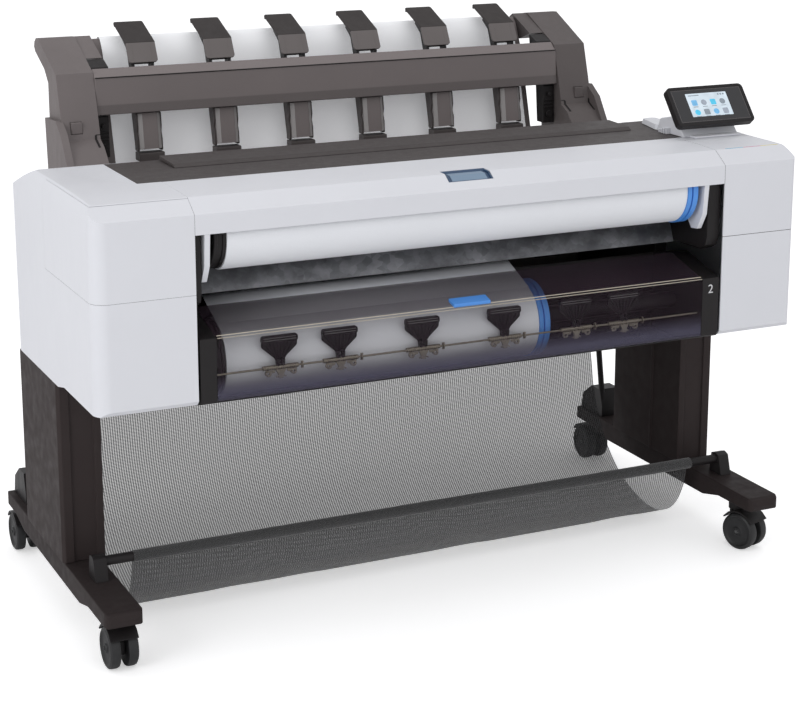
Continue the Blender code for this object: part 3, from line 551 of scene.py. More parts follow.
def build_roll(prefix, hub_lip=0.0025):
    """A wound roll, its spindle with a fixed hub, and its blue hub."""
    low, high = corner_of(f"{prefix}_paper_roll")
    centre = (0, (low.y + high.y) / 2, (low.z + high.z) / 2)
    radius = (high.z - low.z) / 2
    body = f"{prefix}_roll"
    core = 0.0255
    lip = 0.0006
    paper_shape = Shape()
    paper_shape.turned(
        [(high.x, core), (high.x, radius - lip), (high.x - lip, radius), (low.x + lip, radius),
         (low.x, radius - lip), (low.x, core)], centre, sides=160)
    for face in paper_shape.work.faces:
        face.normal_update()
        if abs(face.normal.x) > 0.9:
            face.material_index = 1
    paper_shape.piece(f"{prefix}_paper", body, "paper", [PAPER, wound_edge(prefix, centre)],
                      stands_for=[f"{prefix}_paper_roll"])

    left, right = corner_of(f"{prefix}_spindle")
    hub_right = low.x - 0.0003
    hub_left = hub_right - 0.022
    rim = radius - hub_lip
    collar = high.x + 0.025
    spindle = Shape()
    spindle.turned(
        [(right.x, 0.0), (right.x, 0.010), (right.x - 0.001, 0.012), (right.x - 0.008, 0.012),
         (right.x - 0.008, 0.015), (right.x - 0.009, 0.016), (collar, 0.016), (collar, 0.0235),
         (collar - 0.0012, 0.025), (hub_right, 0.025), (hub_right, rim - 0.0010),
         (hub_right - 0.001, rim), (hub_right - 0.006, rim), (hub_right - 0.007, rim - 0.0025),
         (hub_left + 0.007, rim - 0.0025), (hub_left + 0.006, rim), (hub_left + 0.001, rim),
         (hub_left, rim - 0.001), (hub_left, rim - 0.006), (hub_left + 0.005, rim - 0.009),
         (hub_left + 0.005, 0.030), (hub_left, 0.027), (hub_left, 0.018), (hub_left, 0.016),
         (left.x + 0.004, 0.016), (left.x + 0.004, 0.012), (left.x + 0.001, 0.012),
         (left.x, 0.011), (left.x, 0.0)], centre, sides=96)
    spindle.piece(f"{prefix}_spindle_turned", body, "dark_plastic", [DARK],
                  stands_for=[f"{prefix}_spindle"])

    low, high = corner_of(f"{prefix}_blue_hub")
    rim = (high.z - low.z) / 2
    hub = Shape()
    hub.turned(
        [(low.x, core), (low.x, rim - 0.0008), (low.x + 0.0008, rim), (low.x + 0.0075, rim),
         (low.x + 0.0085, rim - 0.001), (low.x + 0.0085, rim - 0.0045), (low.x + 0.011, rim - 0.0045),
         (low.x + 0.011, rim - 0.001), (low.x + 0.012, rim), (high.x - 0.001, rim),
         (high.x, rim - 0.001), (high.x, rim - 0.0055), (high.x - 0.006, rim - 0.009),
         (high.x - 0.006, 0.034), (high.x, 0.031), (high.x, core)], centre, sides=128)
    for spoke in range(8):
        hub.turn = (Matrix.Translation(centre) @ Matrix.Rotation(math.tau * spoke / 8, 4, "X")
                    @ Matrix.Translation(-Vector(centre)))
        y, z = centre[1], centre[2]
        hub.box((high.x - 0.007, y - 0.0012, z + 0.032), (high.x - 0.0012, y + 0.0012, z + rim - 0.007))
    hub.piece(f"{prefix}_blue_hub_turned", body, "blue_plastic", [BLUE],
              stands_for=[f"{prefix}_blue_hub"])


def wound_edge(prefix, centre):
    """The end of a wound roll: thin rings of paper edges."""
    graph = Graph(f"{prefix}_paper_edge")
    offset = graph.node("ShaderNodeVectorMath", {0: graph.place, 1: (0, centre[1] + FRONT, centre[2])},
                        operation="SUBTRACT").outputs[0]
    flat = graph.node("ShaderNodeVectorMath", {0: offset, 1: (0, 1, 1)}, operation="MULTIPLY").outputs[0]
    radius = graph.node("ShaderNodeVectorMath", {0: flat}, operation="LENGTH").outputs["Value"]
    rings = graph.node("ShaderNodeTexNoise", {"W": graph.math("MULTIPLY", radius, 900.0), "Scale": 1.0,
                                             "Detail": 3.0}, noise_dimensions="1D").outputs["Fac"]
    graph.colour(graph.mix(graph.span(rings, 0.0, 1.0), (0.62, 0.63, 0.66, 1), (0.86, 0.87, 0.90, 1)))
    graph.roughness(graph.span(rings, 0.75, 0.9))
    graph.bump(rings, 0.0001)
    return graph.material


build_roll("upper")
build_roll("lower")


# Drawer.

PINCH_ROD = (0.014, 0.521)
PINCH_PLACES = (-0.363, -0.250, -0.090, 0.075, 0.224, 0.327)


def pinch_fan(shape):
    """A black fan: ridged top bar, converging ribs, a web and a forked stem."""
    shape.prism(mirrored([(0.034, 0.0445, 0.003), (0.033, 0.0560, 0.004)]),
                (0.0008, 0.0085), "Y")
    # The two ridges on the top bar are paler grey than the fan.
    shape.slot = 1
    for height in (0.0478, 0.0520):
        shape.prism(oblong(-0.030, 0.030, height, height + 0.0012), (-0.0004, 0.002), "Y")
    shape.slot = 0
    shape.prism(mirrored([(0.008, 0.014), (0.033, 0.036, 0.006), (0.033, 0.045)]),
                (0.0036, 0.0080), "Y")
    for rib in range(-3, 4):
        foot, head = 0.0023 * rib, 0.0093 * rib
        shape.prism([(foot - 0.0009, 0.012), (foot + 0.0009, 0.012),
                     (head + 0.0010, 0.046), (head - 0.0010, 0.046)],
                    (0.0012 if rib else 0.0008, 0.0050), "Y")
    for side in (-1, 1):
        shape.prism([(side * 0.0015, -0.004), (side * 0.0065, -0.004),
                     (side * 0.0085, 0.016, 0.003), (side * 0.0020, 0.016)],
                    (-0.003, 0.005), "Y")
    shape.prism(oblong(-0.007, 0.007, 0.0065, 0.0095), (-0.0015, 0.004), "Y")


def pinch_bracket(shape):
    """A sheet bracket with a ridged roller, end wheels and a small clip on the rod."""
    profile = [(-0.0330, 0.0)]
    for groove in range(16):
        start = -0.0330 + 0.004125 * groove
        profile += [(start, 0.0042), (start + 0.0028, 0.0042), (start + 0.0030, 0.0034),
                    (start + 0.0040, 0.0034)]
    profile += [(0.0330, 0.0042), (0.0330, 0.0)]
    shape.turned(profile, (0, 0, 0.0005), sides=16)
    for side in (-1, 1):
        shape.turned([(-0.0026, 0.0022), (-0.0026, 0.0056), (0.0026, 0.0056), (0.0026, 0.0022)],
                     (side * 0.0235, -0.0015, -0.0090), "Y", 20)
        shape.prism([(side * 0.010, -0.0035), (side * 0.030, -0.0035), (side * 0.028, -0.0075),
                     (side * 0.0235, -0.0075), (side * 0.018, -0.0095), (side * 0.012, -0.0085)],
                    (-0.0030, -0.0020), "Y")
        shape.prism([(side * 0.0030, -0.015), (side * 0.0085, -0.0175),
                     (side * 0.0100, -0.0155), (side * 0.0045, -0.0125)], (-0.0040, -0.0020), "Y")
    shape.prism(mirrored([(0.0040, -0.019, 0.001), (0.0050, -0.012, 0.002),
                          (0.0095, -0.003)]), (-0.0035, 0.0010), "Y")
    clip = 0.0405
    shape.turned(drum(0.0012, 0.0050), (clip, 0, 0), sides=16)
    for height in (-0.0060, 0.0045):
        shape.box((clip - 0.0022, -0.0020, height), (clip + 0.0022, 0.0020, height + 0.0015))


def build_pinch_guides():
    """Six sprung paper guides on a thin rod behind the drawer's window."""
    y, z = PINCH_ROD
    low, high = corner_of("drawer_pinch_bar")
    fans, brackets = Shape(), Shape()
    brackets.rod([(low.x, y, z), (high.x, y, z)], 0.0019)
    for x in PINCH_PLACES:
        fans.turn = brackets.turn = Matrix.Translation((x, y, z))
        pinch_fan(fans)
        pinch_bracket(brackets)
    fans.piece("pinch_fans", "drawer", "dark_plastic", [FAN, RIDGE], 0.0004, 1,
               stands_for=["drawer_pinch_bar"])
    brackets.piece("pinch_brackets", "drawer", "steel", [BRASS], 0.0003, 1)


build_pinch_guides()


def build_window_edges():
    """The window's top front corner, where its polished edges catch the light, drawn as bright rods: a
    painted highlight.
    """
    low, high = corner_of("drawer_window")
    edges = Shape()
    for y, z in ((0.0009, WINDOW_TOP - 0.0008), (0.0052, WINDOW_TOP + 0.0026)):
        edges.rod([(low.x + 0.001, y, z), (high.x - 0.001, y, z)], 0.0008, 8)
    edges.piece("window_edge_painted_highlight", "drawer", "smoked_clear", [WINDOW_EDGE_HIGHLIGHT])
    foot = Shape()
    foot.prism(oblong(0.0002, 0.0034, low.z, low.z + 0.0035), (low.x, high.x))
    foot.piece("window_foot_seal", "drawer", "dark_plastic", [DARK], 0.0003, 1)


build_window_edges()


def build_numeral():
    """The roll's number on the drawer's right cap."""
    text = bpy.data.curves.new("numeral", "FONT")
    text.body = "2"
    text.size = 0.024
    text.extrude = 0.0003
    text.align_x = "CENTER"
    item = linked("numeral_source", text)
    item.matrix_world = (Matrix.Translation((0.5095, FRONT + 0.00025, 0.561))
                         @ Matrix.Rotation(math.radians(90), 4, "X"))
    bpy.context.view_layer.update()
    graph = bpy.context.evaluated_depsgraph_get()
    mesh = bpy.data.meshes.new_from_object(item.evaluated_get(graph))
    mesh.transform(item.matrix_world)
    bpy.data.objects.remove(item)
    mesh.materials.clear()
    mesh.materials.append(PRINT)
    numeral = linked("drawer_numeral", mesh)
    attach(numeral, "drawer")


build_numeral()


# Basket.

BASKET_PATH = (
    (0.6360, 0.4500), (0.5980, 0.3600), (0.5680, 0.2850), (0.5500, 0.2060), (0.5240, 0.1480),
    (0.4880, 0.0970), (0.4430, 0.0560), (0.3950, 0.0310), (0.3350, 0.0150), (0.2850, 0.0150),
    (0.2410, 0.0320), (0.2100, 0.0610), (0.1910, 0.0960), (0.1830, 0.1200), (0.1790, 0.1440))
BASKET_COLUMNS = 96


def mesh_fabric():
    """Black open-weave netting: crossed threads with see-through holes."""
    graph = Graph("black_netting", Roughness=0.62, Sheen_Weight=0.35)
    uv = graph.node("ShaderNodeTexCoord").outputs["UV"]
    parts = graph.node("ShaderNodeSeparateXYZ", {0: uv})
    across_u, along_v = parts.outputs["X"], parts.outputs["Y"]
    pitch = math.tau / 0.0095
    slant = graph.math("MULTIPLY", along_v, 1.7)
    lean, back = (graph.math("MULTIPLY", graph.math(way, across_u, slant), pitch)
                  for way in ("ADD", "SUBTRACT"))
    threads = graph.math("MULTIPLY", graph.math("SINE", lean), graph.math("SINE", back))
    cover = graph.span(threads, 0.53, 0.97, 0.35, -0.35)
    graph.feed(graph.shader.inputs["Alpha"], cover)
    fuzz = graph.noise(900.0, 3.0)
    graph.colour(graph.mix(graph.span(fuzz, 0.0, 1.0), (0.016, 0.016, 0.017, 1), (0.046, 0.046, 0.048, 1)))
    graph.bump(threads, 0.0004)
    return graph.material


def build_basket():
    """The netting sling, sagging a little between its rods, with sleeves round both."""
    low, high = corner_of("basket_mesh")
    path = curve_through(BASKET_PATH, 4)
    lengths = [0.0]
    for here, ahead in zip(path, path[1:]):
        lengths.append(lengths[-1] + (Vector(ahead) - Vector(here)).length)
    total = lengths[-1]
    work = bmesh.new()
    layer = work.loops.layers.uv.new("weave")
    rows = []
    for (y, z), run in zip(path, lengths):
        row = []
        for column in range(BASKET_COLUMNS + 1):
            share = column / BASKET_COLUMNS
            x = low.x + (high.x - low.x) * share
            hang = math.sin(math.pi * run / total)
            ripple = 0.0022 * math.sin(19 * share + 5 * run) + 0.0014 * math.sin(43 * share - 9 * run)
            row.append(work.verts.new((x, y + FRONT + ripple * hang, z + 0.5 * abs(ripple) * hang)))
        rows.append(row)
    for index, (first, second) in enumerate(zip(rows, rows[1:])):
        for column in range(BASKET_COLUMNS):
            corners = (first[column], first[column + 1], second[column + 1], second[column])
            face = work.faces.new(corners)
            face.smooth = True
            places = ((column, index), (column + 1, index), (column + 1, index + 1), (column, index + 1))
            for loop, (u, v) in zip(face.loops, places):
                loop[layer].uv = (u / BASKET_COLUMNS * (high.x - low.x), lengths[v])
    mesh = bpy.data.meshes.new("basket_netting")
    work.to_mesh(mesh)
    work.free()
    netting = linked("basket_netting", mesh)
    mesh.materials.append(mesh_fabric())
    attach(netting, "machine")
    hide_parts("basket_mesh")

    hems = Shape()
    for y, z, radius in ((BASKET_PATH[0][0] + 0.010, 0.455, 0.0088), (0.170, 0.155, 0.0108)):
        hems.rod([(low.x, y, z), (high.x, y, z)], radius, 20)
    hem = hems.piece("basket_sleeves", "machine", "basket_mesh", [sleeve_cloth()])


def sleeve_cloth():
    """Tightly woven black webbing of the sleeves."""
    graph = Graph("sleeve_webbing", Sheen_Weight=0.4)
    weave = graph.node("ShaderNodeTexChecker", {"Vector": graph.place, "Scale": 700.0}).outputs["Fac"]
    fuzz = graph.noise(800.0, 3.0)
    tone = graph.mix(graph.span(fuzz, 0.0, 1.0), (0.012, 0.012, 0.012, 1), (0.030, 0.030, 0.031, 1))
    graph.colour(graph.mix(graph.span(weave, 0.0, 0.35, 0.0, 1.0), tone, (0.045, 0.045, 0.046, 1)))
    graph.roughness(graph.span(fuzz, 0.7, 0.9))
    graph.bump(weave, 0.0003)
    return graph.material


build_basket()


# Stacker.

RIB_PITCH = 0.159
RIB_COUNT = 6


def rib_places():
    """The X of each rib and hold-down arm."""
    return [(index - (RIB_COUNT - 1) / 2) * RIB_PITCH for index in range(RIB_COUNT)]


def plate_frame(start, stop):
    """A frame whose local Z runs up a slanted plate from start to stop in (y, z), Y into it."""
    rise = Vector((0, stop[0] - start[0], stop[1] - start[1])).normalized()
    side = Vector((1, 0, 0))
    inward = rise.cross(side)
    turn = Matrix((side, inward, rise)).transposed().to_4x4()
    return Matrix.Translation((0, *start)) @ turn


def build_arms():
    """Hold-down arms: a hinged lower plate, an upper flap over the sheet and a dark bracket."""
    plates, flaps, brackets = Shape(), Shape(), Shape()
    low, high = corner_of("stacker_arms")
    brackets.turned([(low.x, 0.0), (low.x, 0.0045), (low.x + 0.0005, 0.005), (high.x - 0.0005, 0.005),
                     (high.x, 0.0045), (high.x, 0.0)], (0, 0.640, 0.962), sides=24)
    foot, fold, tip = (0.6262, 0.9770), (0.6460, 1.0135), (0.7245, 1.0462)
    lower = (Vector(fold) - Vector(foot)).length
    upper = (Vector(tip) - Vector(fold)).length
    cheek = [(0.6320, 0.9545, 0.003), (0.6450, 0.9535, 0.003), (0.6530, 0.9720, 0.006),
             (0.6640, 0.9985, 0.006), (0.6900, 1.0155), (0.6850, 1.0245),
             (0.6500, 1.0095), (0.6330, 0.9780)]
    for x in rib_places():
        shift = Matrix.Translation((x, 0, 0))
        plates.turn = shift @ plate_frame(foot, fold)
        flaps.turn = shift @ plate_frame(fold, tip)
        brackets.turn = shift
        plates.prism(mirrored([(0.0295, 0.0, 0.0065), (0.0295, lower - 0.0006)]),
                     (0.0, 0.0048), "Y")
        for side in (-1, 1):
            plates.prism(oblong(side * 0.0185, side * 0.0192, 0.004, lower - 0.002),
                         (-0.0003, 0.001), "Y")
            brackets.prism(cheek, (side * 0.0165, side * 0.0230))
            brackets.turned(drum(0.002, 0.0042), (side * 0.0262, 0.640, 0.962), sides=20)
        flaps.prism(mirrored([(0.0300, 0.0), (0.0300, upper, 0.005)]), (0.0, 0.0042), "Y")
        flaps.prism(oblong(-0.0285, 0.0285, upper - 0.006, upper - 0.0015), (0.003, 0.0085), "Y")
        brackets.prism([(0.6310, 0.9760), (0.6380, 0.9715), (0.6480, 0.9930), (0.6420, 0.9970)],
                       (-0.0165, 0.0165))
    plates.piece("arm_plates", "hold_down_arms", "brown_plastic", [PLATE], 0.0008, 2,
                 stands_for=["stacker_arms"])
    flaps.piece("arm_flaps", "hold_down_arms", "brown_plastic", [FLAP], 0.0008, 2)
    brackets.piece("arm_brackets", "hold_down_arms", "dark_plastic", [DARK], 0.0005, 1)


def build_ribs():
    """Ribs that carry the sheet: a flat face, a chamfer down each side, dark walls and a foot."""
    faces, walls, feet = Shape(), Shape(), Shape()
    low, high = corner_of("stacker_ribs")
    walls.box((low.x, 0.6282, 0.9002), (high.x, 0.6338, 0.9448))
    start, stop = (0.5895, 0.8090), (0.6005, 0.8805)
    run = (Vector(stop) - Vector(start)).length
    for x in rib_places():
        walls.turn = feet.turn = shift = Matrix.Translation((x, 0, 0))
        faces.turn = shift @ plate_frame(start, stop)
        faces.prism(mirrored([(0.0145, 0.0), (0.0215, 0.0060), (0.0215, 0.0150)]),
                    (0.003, run + 0.001), "Z")
        # The side chamfers take the lighter colour: a painted highlight.
        faces.slot = 1
        for side in (-1, 1):
            faces.prism([(side * 0.0148, -0.0002), (side * 0.0152, -0.0004), (side * 0.0220, 0.0054),
                         (side * 0.0220, 0.0120), (side * 0.0212, 0.0120), (side * 0.0212, 0.0058)],
                        (0.0035, run), "Z")
            walls.prism([(0.5990, 0.8065, 0.004), (0.6165, 0.8065, 0.004), (0.6180, 0.8180, 0.004),
                         (0.6335, 0.8750), (0.6335, 0.9395), (0.6285, 0.9395), (0.6275, 0.8840),
                         (0.6085, 0.8805), (0.6040, 0.8560, 0.004), (0.6065, 0.8430, 0.003),
                         (0.6010, 0.8300, 0.004)], (side * 0.0215, side * 0.0258))
        faces.slot = 0
        walls.prism([(0.6140, 0.8100), (0.6330, 0.8770), (0.6330, 0.9390), (0.6290, 0.9390),
                     (0.6290, 0.8800), (0.6110, 0.8110)], (-0.0210, 0.0210))
        feet.prism([(0.5885, 0.7885), (0.6165, 0.7885), (0.6165, 0.8045, 0.002),
                    (0.5900, 0.8045, 0.003)], (-0.0258, 0.0258))
    faces.piece("rib_faces", "machine", "brown_plastic", [BROWN, RIB_EDGE_HIGHLIGHT], 0.0006, 2,
                stands_for=["stacker_ribs"])
    walls.piece("rib_walls", "machine", "dark_plastic", [UMBER], 0.0005, 1)
    feet.piece("rib_feet", "machine", "dark_plastic", [UMBER], 0.0007, 2)


def build_sheet():
    """The printed sheet, curling over the tray's crest."""
    low, high = corner_of("printed_sheet")
    path = curve_through([(0.6375, 0.7780), (0.6500, 0.8220), (0.6627, 0.8675), (0.6775, 0.9160),
                          (0.6927, 0.9615), (0.7030, 0.9890), (0.7135, 1.0070), (0.7225, 1.0165),
                          (0.7300, 1.0180), (0.7375, 1.0150), (0.7420, 1.0060), (0.7418, 0.9930),
                          (0.7400, 0.9810)], 4)
    sheet = Shape()
    front = [[sheet.vertex((x, y, z)) for y, z in path] for x in (low.x, high.x)]
    behind = [[sheet.vertex((x, y + 0.0005, z - 0.0002)) for y, z in path] for x in (low.x, high.x)]
    for index in range(len(path) - 1):
        sheet.face((front[0][index], front[1][index], front[1][index + 1], front[0][index + 1]))
        sheet.face((behind[0][index], behind[1][index], behind[1][index + 1], behind[0][index + 1]))
        for side in (0, 1):
            sheet.face((front[side][index], front[side][index + 1],
                        behind[side][index + 1], behind[side][index]))
    for index in (0, -1):
        sheet.face((front[0][index], front[1][index], behind[1][index], behind[0][index]))
    # The sheet uses the paper with the painted glow.
    sheet.piece("stacked_sheet", "machine", "paper", [PAPER_PAINTED_GLOW], stands_for=["printed_sheet"], angle=60)


def build_tower_details():
    """The towers' seams and dark feed gear, and the line along the top of the cross bar."""
    seams, gear = Shape(), Shape()
    lower_face = ((0.5480, 0.8300), (0.5720, 0.8420), 0.0262)
    upper_face = ((0.5720, 0.8420), (0.5850, 0.8900), 0.0075)
    for sign in (-1, 1):
        for start, stop, reach in (lower_face, upper_face):
            seams.turn = plate_frame(start, stop)
            for x in (0.5120, 0.5705):
                seams.prism(oblong(sign * x, sign * (x + 0.0040), 0.0, reach), (-0.0008, 0.0010), "Y")
        for x in (0.5052, 0.5705):
            seams.prism(oblong(sign * x, sign * (x + 0.0090), 0.0075, 0.0092),
                        (-0.0004, 0.0010), "Y")
        x = sign * 0.4900
        gear.prism([(0.6010, 0.8000), (0.6300, 0.8000), (0.6380, 0.8800),
                    (0.6040, 0.8800, 0.004)], (sign * 0.4785, sign * 0.5040))
        for height, radius in ((0.8200, 0.0070), (0.8620, 0.0045)):
            gear.turned([(-0.0040, 0.0), (-0.0040, radius), (0.0, radius), (0.0, radius * 0.45),
                         (0.0015, radius * 0.40), (0.0015, 0.0)], (x, 0.6000, height), "Y", 28)
        for height in (0.8320, 0.8400, 0.8480):
            gear.box((x - 0.010, 0.5990, height), (x + 0.010, 0.6040, height + 0.0035))
        gear.prism([(0.6120, 0.9450), (0.6500, 0.9450), (0.6560, 0.9850, 0.003),
                    (0.6230, 0.9720, 0.003)], (sign * 0.4700, sign * 0.5045))
    seams.turn = Matrix.Identity(4)
    low, high = corner_of("stacker_cross_bar")
    ledge = (0.5996, BAR_LEDGE + 0.0003)
    seams.rod([(low.x + 0.001, *ledge), (high.x - 0.001, *ledge)], 0.0011, 8)
    seams.piece("tower_seams", "machine", "dark_plastic", [DARK])
    gear.piece("tower_feed_gear", "machine", "dark_plastic", [DARK], 0.0005, 1)


build_arms()
build_ribs()
build_sheet()
build_tower_details()


# Control panel.

PANEL_CENTRE = (0.603, 0.1595, 0.8935)
PANEL_LEAN = 39.5


def lit(name, colour, strength, detail=60.0):
    """A lit patch of the display, with a faint pixel grain and shading."""
    graph = Graph(name, Roughness=0.25, Emission_Strength=strength)
    grain = graph.flecks(1800.0)
    wash = graph.noise(detail, 1.0)
    shown = graph.tones(wash, colour, 0.90, 1.08)
    shown = graph.mix(graph.span(grain, 0.12, 0.0, 0.0, 0.6), shown, shade(colour, 0.75))
    graph.colour(shown)
    graph.feed(graph.shader.inputs["Emission Color"], shown)
    return graph.material


def build_display():
    """The panel's bezel line, its lit display and plain generic icons."""
    place = (Matrix.Translation(PANEL_CENTRE)
             @ Matrix.Rotation(math.radians(90 - PANEL_LEAN), 4, "X"))
    screen = Shape()
    screen.turn = place
    screen.box((-0.0500, -0.0250, -0.0006), (0.0440, 0.0270, 0.0001), 0.0012)
    screen.piece("display_ground", "control_panel", "black_glass",
                 [lit("display_pale", (0.52, 0.60, 0.66), 0.42)])
    tints = ((0.16, 0.42, 0.68), (0.30, 0.34, 0.40), (0.08, 0.50, 0.72), (0.22, 0.26, 0.30))
    materials = [lit(f"display_tint_{index}", tint, 0.30, 200.0) for index, tint in enumerate(tints)]
    icons = Shape()
    icons.turn = place
    pitch, half = 0.0215, 0.00625
    circle = [math.tau * step / 20 for step in range(20)]
    for row in range(2):
        for column in range(4):
            x = -0.0355 + pitch * column
            y = 0.0060 - pitch * row
            icons.slot = (column + 2 * row) % 4
            if (row + column) % 2:
                icons.prism([(x + half * math.cos(angle), y + half * math.sin(angle))
                             for angle in circle], (0.0001, 0.0003), "Z")
            else:
                icons.box((x - half, y - half, 0.0001), (x + half, y + half, 0.0003), 0.0022)
            icons.slot = 3
            icons.box((x - 0.0055, y - 0.0098, 0.0001), (x + 0.0055, y - 0.0085, 0.0002))
    for index in range(3):
        x = 0.0230 + 0.0060 * index
        icons.box((x, 0.0205, 0.0001), (x + 0.0035, 0.0240, 0.0003), 0.0008)
    icons.box((-0.0440, 0.0215, 0.0001), (-0.0200, 0.0232, 0.0003))
    icons.piece("display_icons", "control_panel", "black_glass", materials)
    bezel = Shape()
    bezel.turn = place
    for low, high in (((-0.0790, 0.0349), (0.0790, 0.0354)), ((-0.0790, -0.0354), (0.0790, -0.0349)),
                      ((-0.0790, -0.0354), (-0.0785, 0.0354)), ((0.0785, -0.0354), (0.0790, 0.0354))):
        bezel.box((*low, -0.0003), (*high, 0.0001))
    bezel.piece("display_outline", "control_panel", "dark_plastic", [BROWN])


def build_panel_foot():
    """The stepped white foot of the panel, its rear hump and its cooling fins."""
    foot = Shape()
    foot.prism([(0.560, 0.1450, 0.004), (0.668, 0.1450, 0.004), (0.668, 0.2300, 0.006),
                (0.560, 0.2300, 0.006)], (0.8312, 0.8350), "Z")
    foot.prism([(0.5450, 0.2640, 0.004), (0.5950, 0.2640, 0.004), (0.5950, 0.3500, 0.010),
                (0.5640, 0.3500, 0.010)], (0.8314, 0.8420), "Z", 0.90)
    for fin in range(4):
        y = 0.2100 + 0.0085 * fin
        foot.box((0.5350, y, 0.8314), (0.5448, y + 0.0035, 0.8440 - 0.0015 * fin))
    foot.piece("panel_foot_steps", "machine", "white_cover", [WHITE], 0.0008, 2)


def build_cover_trim():
    """The right cover's coloured ink stripe, and the lid's latch recess."""
    stripe = Shape()
    colours = ((0.03, 0.42, 0.66), (0.62, 0.10, 0.26), (0.78, 0.66, 0.10))
    materials = []
    for index, colour in enumerate(colours):
        materials.append(plastic(f"stripe_{index}", colour, 0.5, 1500.0, 0.00003, 0.05))
        stripe.slot = index
        start = 0.5560 + 0.0400 * index
        stripe.prism([(0.0352, 0.82895), (0.0372, 0.82903), (0.0372, 0.82930), (0.0352, 0.82922)],
                     (start, start + 0.0392))
    stripe.piece("ink_stripe", "machine", "white_cover", materials)

    low, high = corner_of("lid_handle")
    dark_blue = plastic("recess_dark_blue", (0.035, 0.075, 0.150), 0.40, 1300.0, 0.00005, 0.06)
    pale_blue = plastic("recess_pale_blue", (0.20, 0.29, 0.40), 0.38, 1300.0, 0.00005, 0.05)
    latch = Shape()
    latch.prism([(0.0185, 0.8135), (0.0350, 0.8240), (0.0575, 0.8252), (0.0575, 0.8225),
                 (0.0360, 0.8205), (0.0185, 0.8085)], (low.x, high.x))
    latch.slot = 1
    latch.prism([(0.0225, 0.8170), (0.0350, 0.8252, 0.003), (0.0500, 0.8259), (0.0500, 0.8240),
                 (0.0355, 0.8230), (0.0230, 0.8150)], (low.x + 0.009, high.x - 0.009))
    latch.slot = 0
    latch.prism([(0.0500, 0.8245), (0.0575, 0.8248), (0.0575, 0.8292), (0.0545, 0.8292)],
                (low.x, high.x))
    latch.prism([(0.0185, 0.8130), (0.0215, 0.8150), (0.0205, 0.8175), (0.0182, 0.8165)],
                (low.x, high.x))
    for x in (low.x, high.x - 0.003):
        latch.prism([(0.0190, 0.8140), (0.0350, 0.8245), (0.0575, 0.8255), (0.0575, 0.8288),
                     (0.0350, 0.8275), (0.0200, 0.8175)], (x, x + 0.003))
    latch.piece("lid_latch", "lid", "blue_plastic", [dark_blue, pale_blue], 0.0004, 1,
                stands_for=["lid_handle"])


def cover_line(outer, inner, corner, depth, rear):
    """Points round a cover's front corner, a little below its surface, in (x, y)."""
    side = math.copysign(1, outer)
    points = [(inner, depth)]
    for step in range(9):
        angle = math.radians(-90 + 90 * step / 8)
        points.append((outer - side * corner + side * (corner - depth) * math.cos(angle),
                       corner + (corner - depth) * math.sin(angle)))
    points.append((outer - side * depth, rear))
    return points


def build_seams():
    """Dark gaskets that show in the gaps between the covers, the ink door and the lid."""
    depth, radius = 0.0013, 0.0011
    seams = Shape()
    door_low, door_high = corner_of("ink_door")
    split = door_low.z - 0.00025
    rim = cover_line(CAD_LOW.x, door_high.x, 0.028, depth, door_high.y)
    seams.rod([(x, y, split) for x, y in rim], radius, 8)
    side = CAD_LOW.x + depth
    seams.rod([(side, door_high.y, split), (side, door_high.y, 0.794)], radius, 8)
    lower_low, lower_high = corner_of("cover_right_lower")
    rim = cover_line(CAD_HIGH.x, lower_low.x, 0.010, depth, 0.495)
    seams.rod([(x, y, lower_high.z + 0.0005) for x, y in rim], radius, 8)
    lid_low, lid_high = corner_of("lid")
    for x in (lid_low.x - 0.00025, lid_high.x + 0.00025):
        seams.rod([(x, depth, 0.7705), (x, depth, 0.8044), (x, 0.0358, 0.8277), (x, 0.0900, 0.8297),
                   (x, 0.1690, 0.8297)], radius, 8)
    seams.piece("cover_gaskets", "machine", "dark_plastic", [DARK])


def build_rear_trim():
    """Vent slots and screws on the back."""
    low, high = corner_of("rear_panel")
    rear = high.y
    slots, screws = Shape(), Shape()
    for group in (-0.150, 0.330):
        for index in range(9):
            x = group - 0.064 + 0.016 * index
            slots.prism(oblong(x - 0.0030, x + 0.0030, 0.640, 0.690, 0.0028),
                        (rear - 0.0010, rear + 0.0002), "Y")
    for x in (low.x + 0.014, -0.170, 0.170, high.x - 0.014):
        for z in (low.z + 0.014, low.z + 0.150):
            screws.turned([(0.0, 0.0), (0.0, 0.0042), (0.0012, 0.0036), (0.0018, 0.0020), (0.0018, 0.0)],
                          (x, rear, z), "Y", 20)
    slots.piece("rear_vents", "machine", "dark_plastic", [FAN])
    screws.piece("rear_screws", "machine", "steel", [STEEL])


build_display()
build_panel_foot()
build_cover_trim()
build_seams()
build_rear_trim()


# Casters.

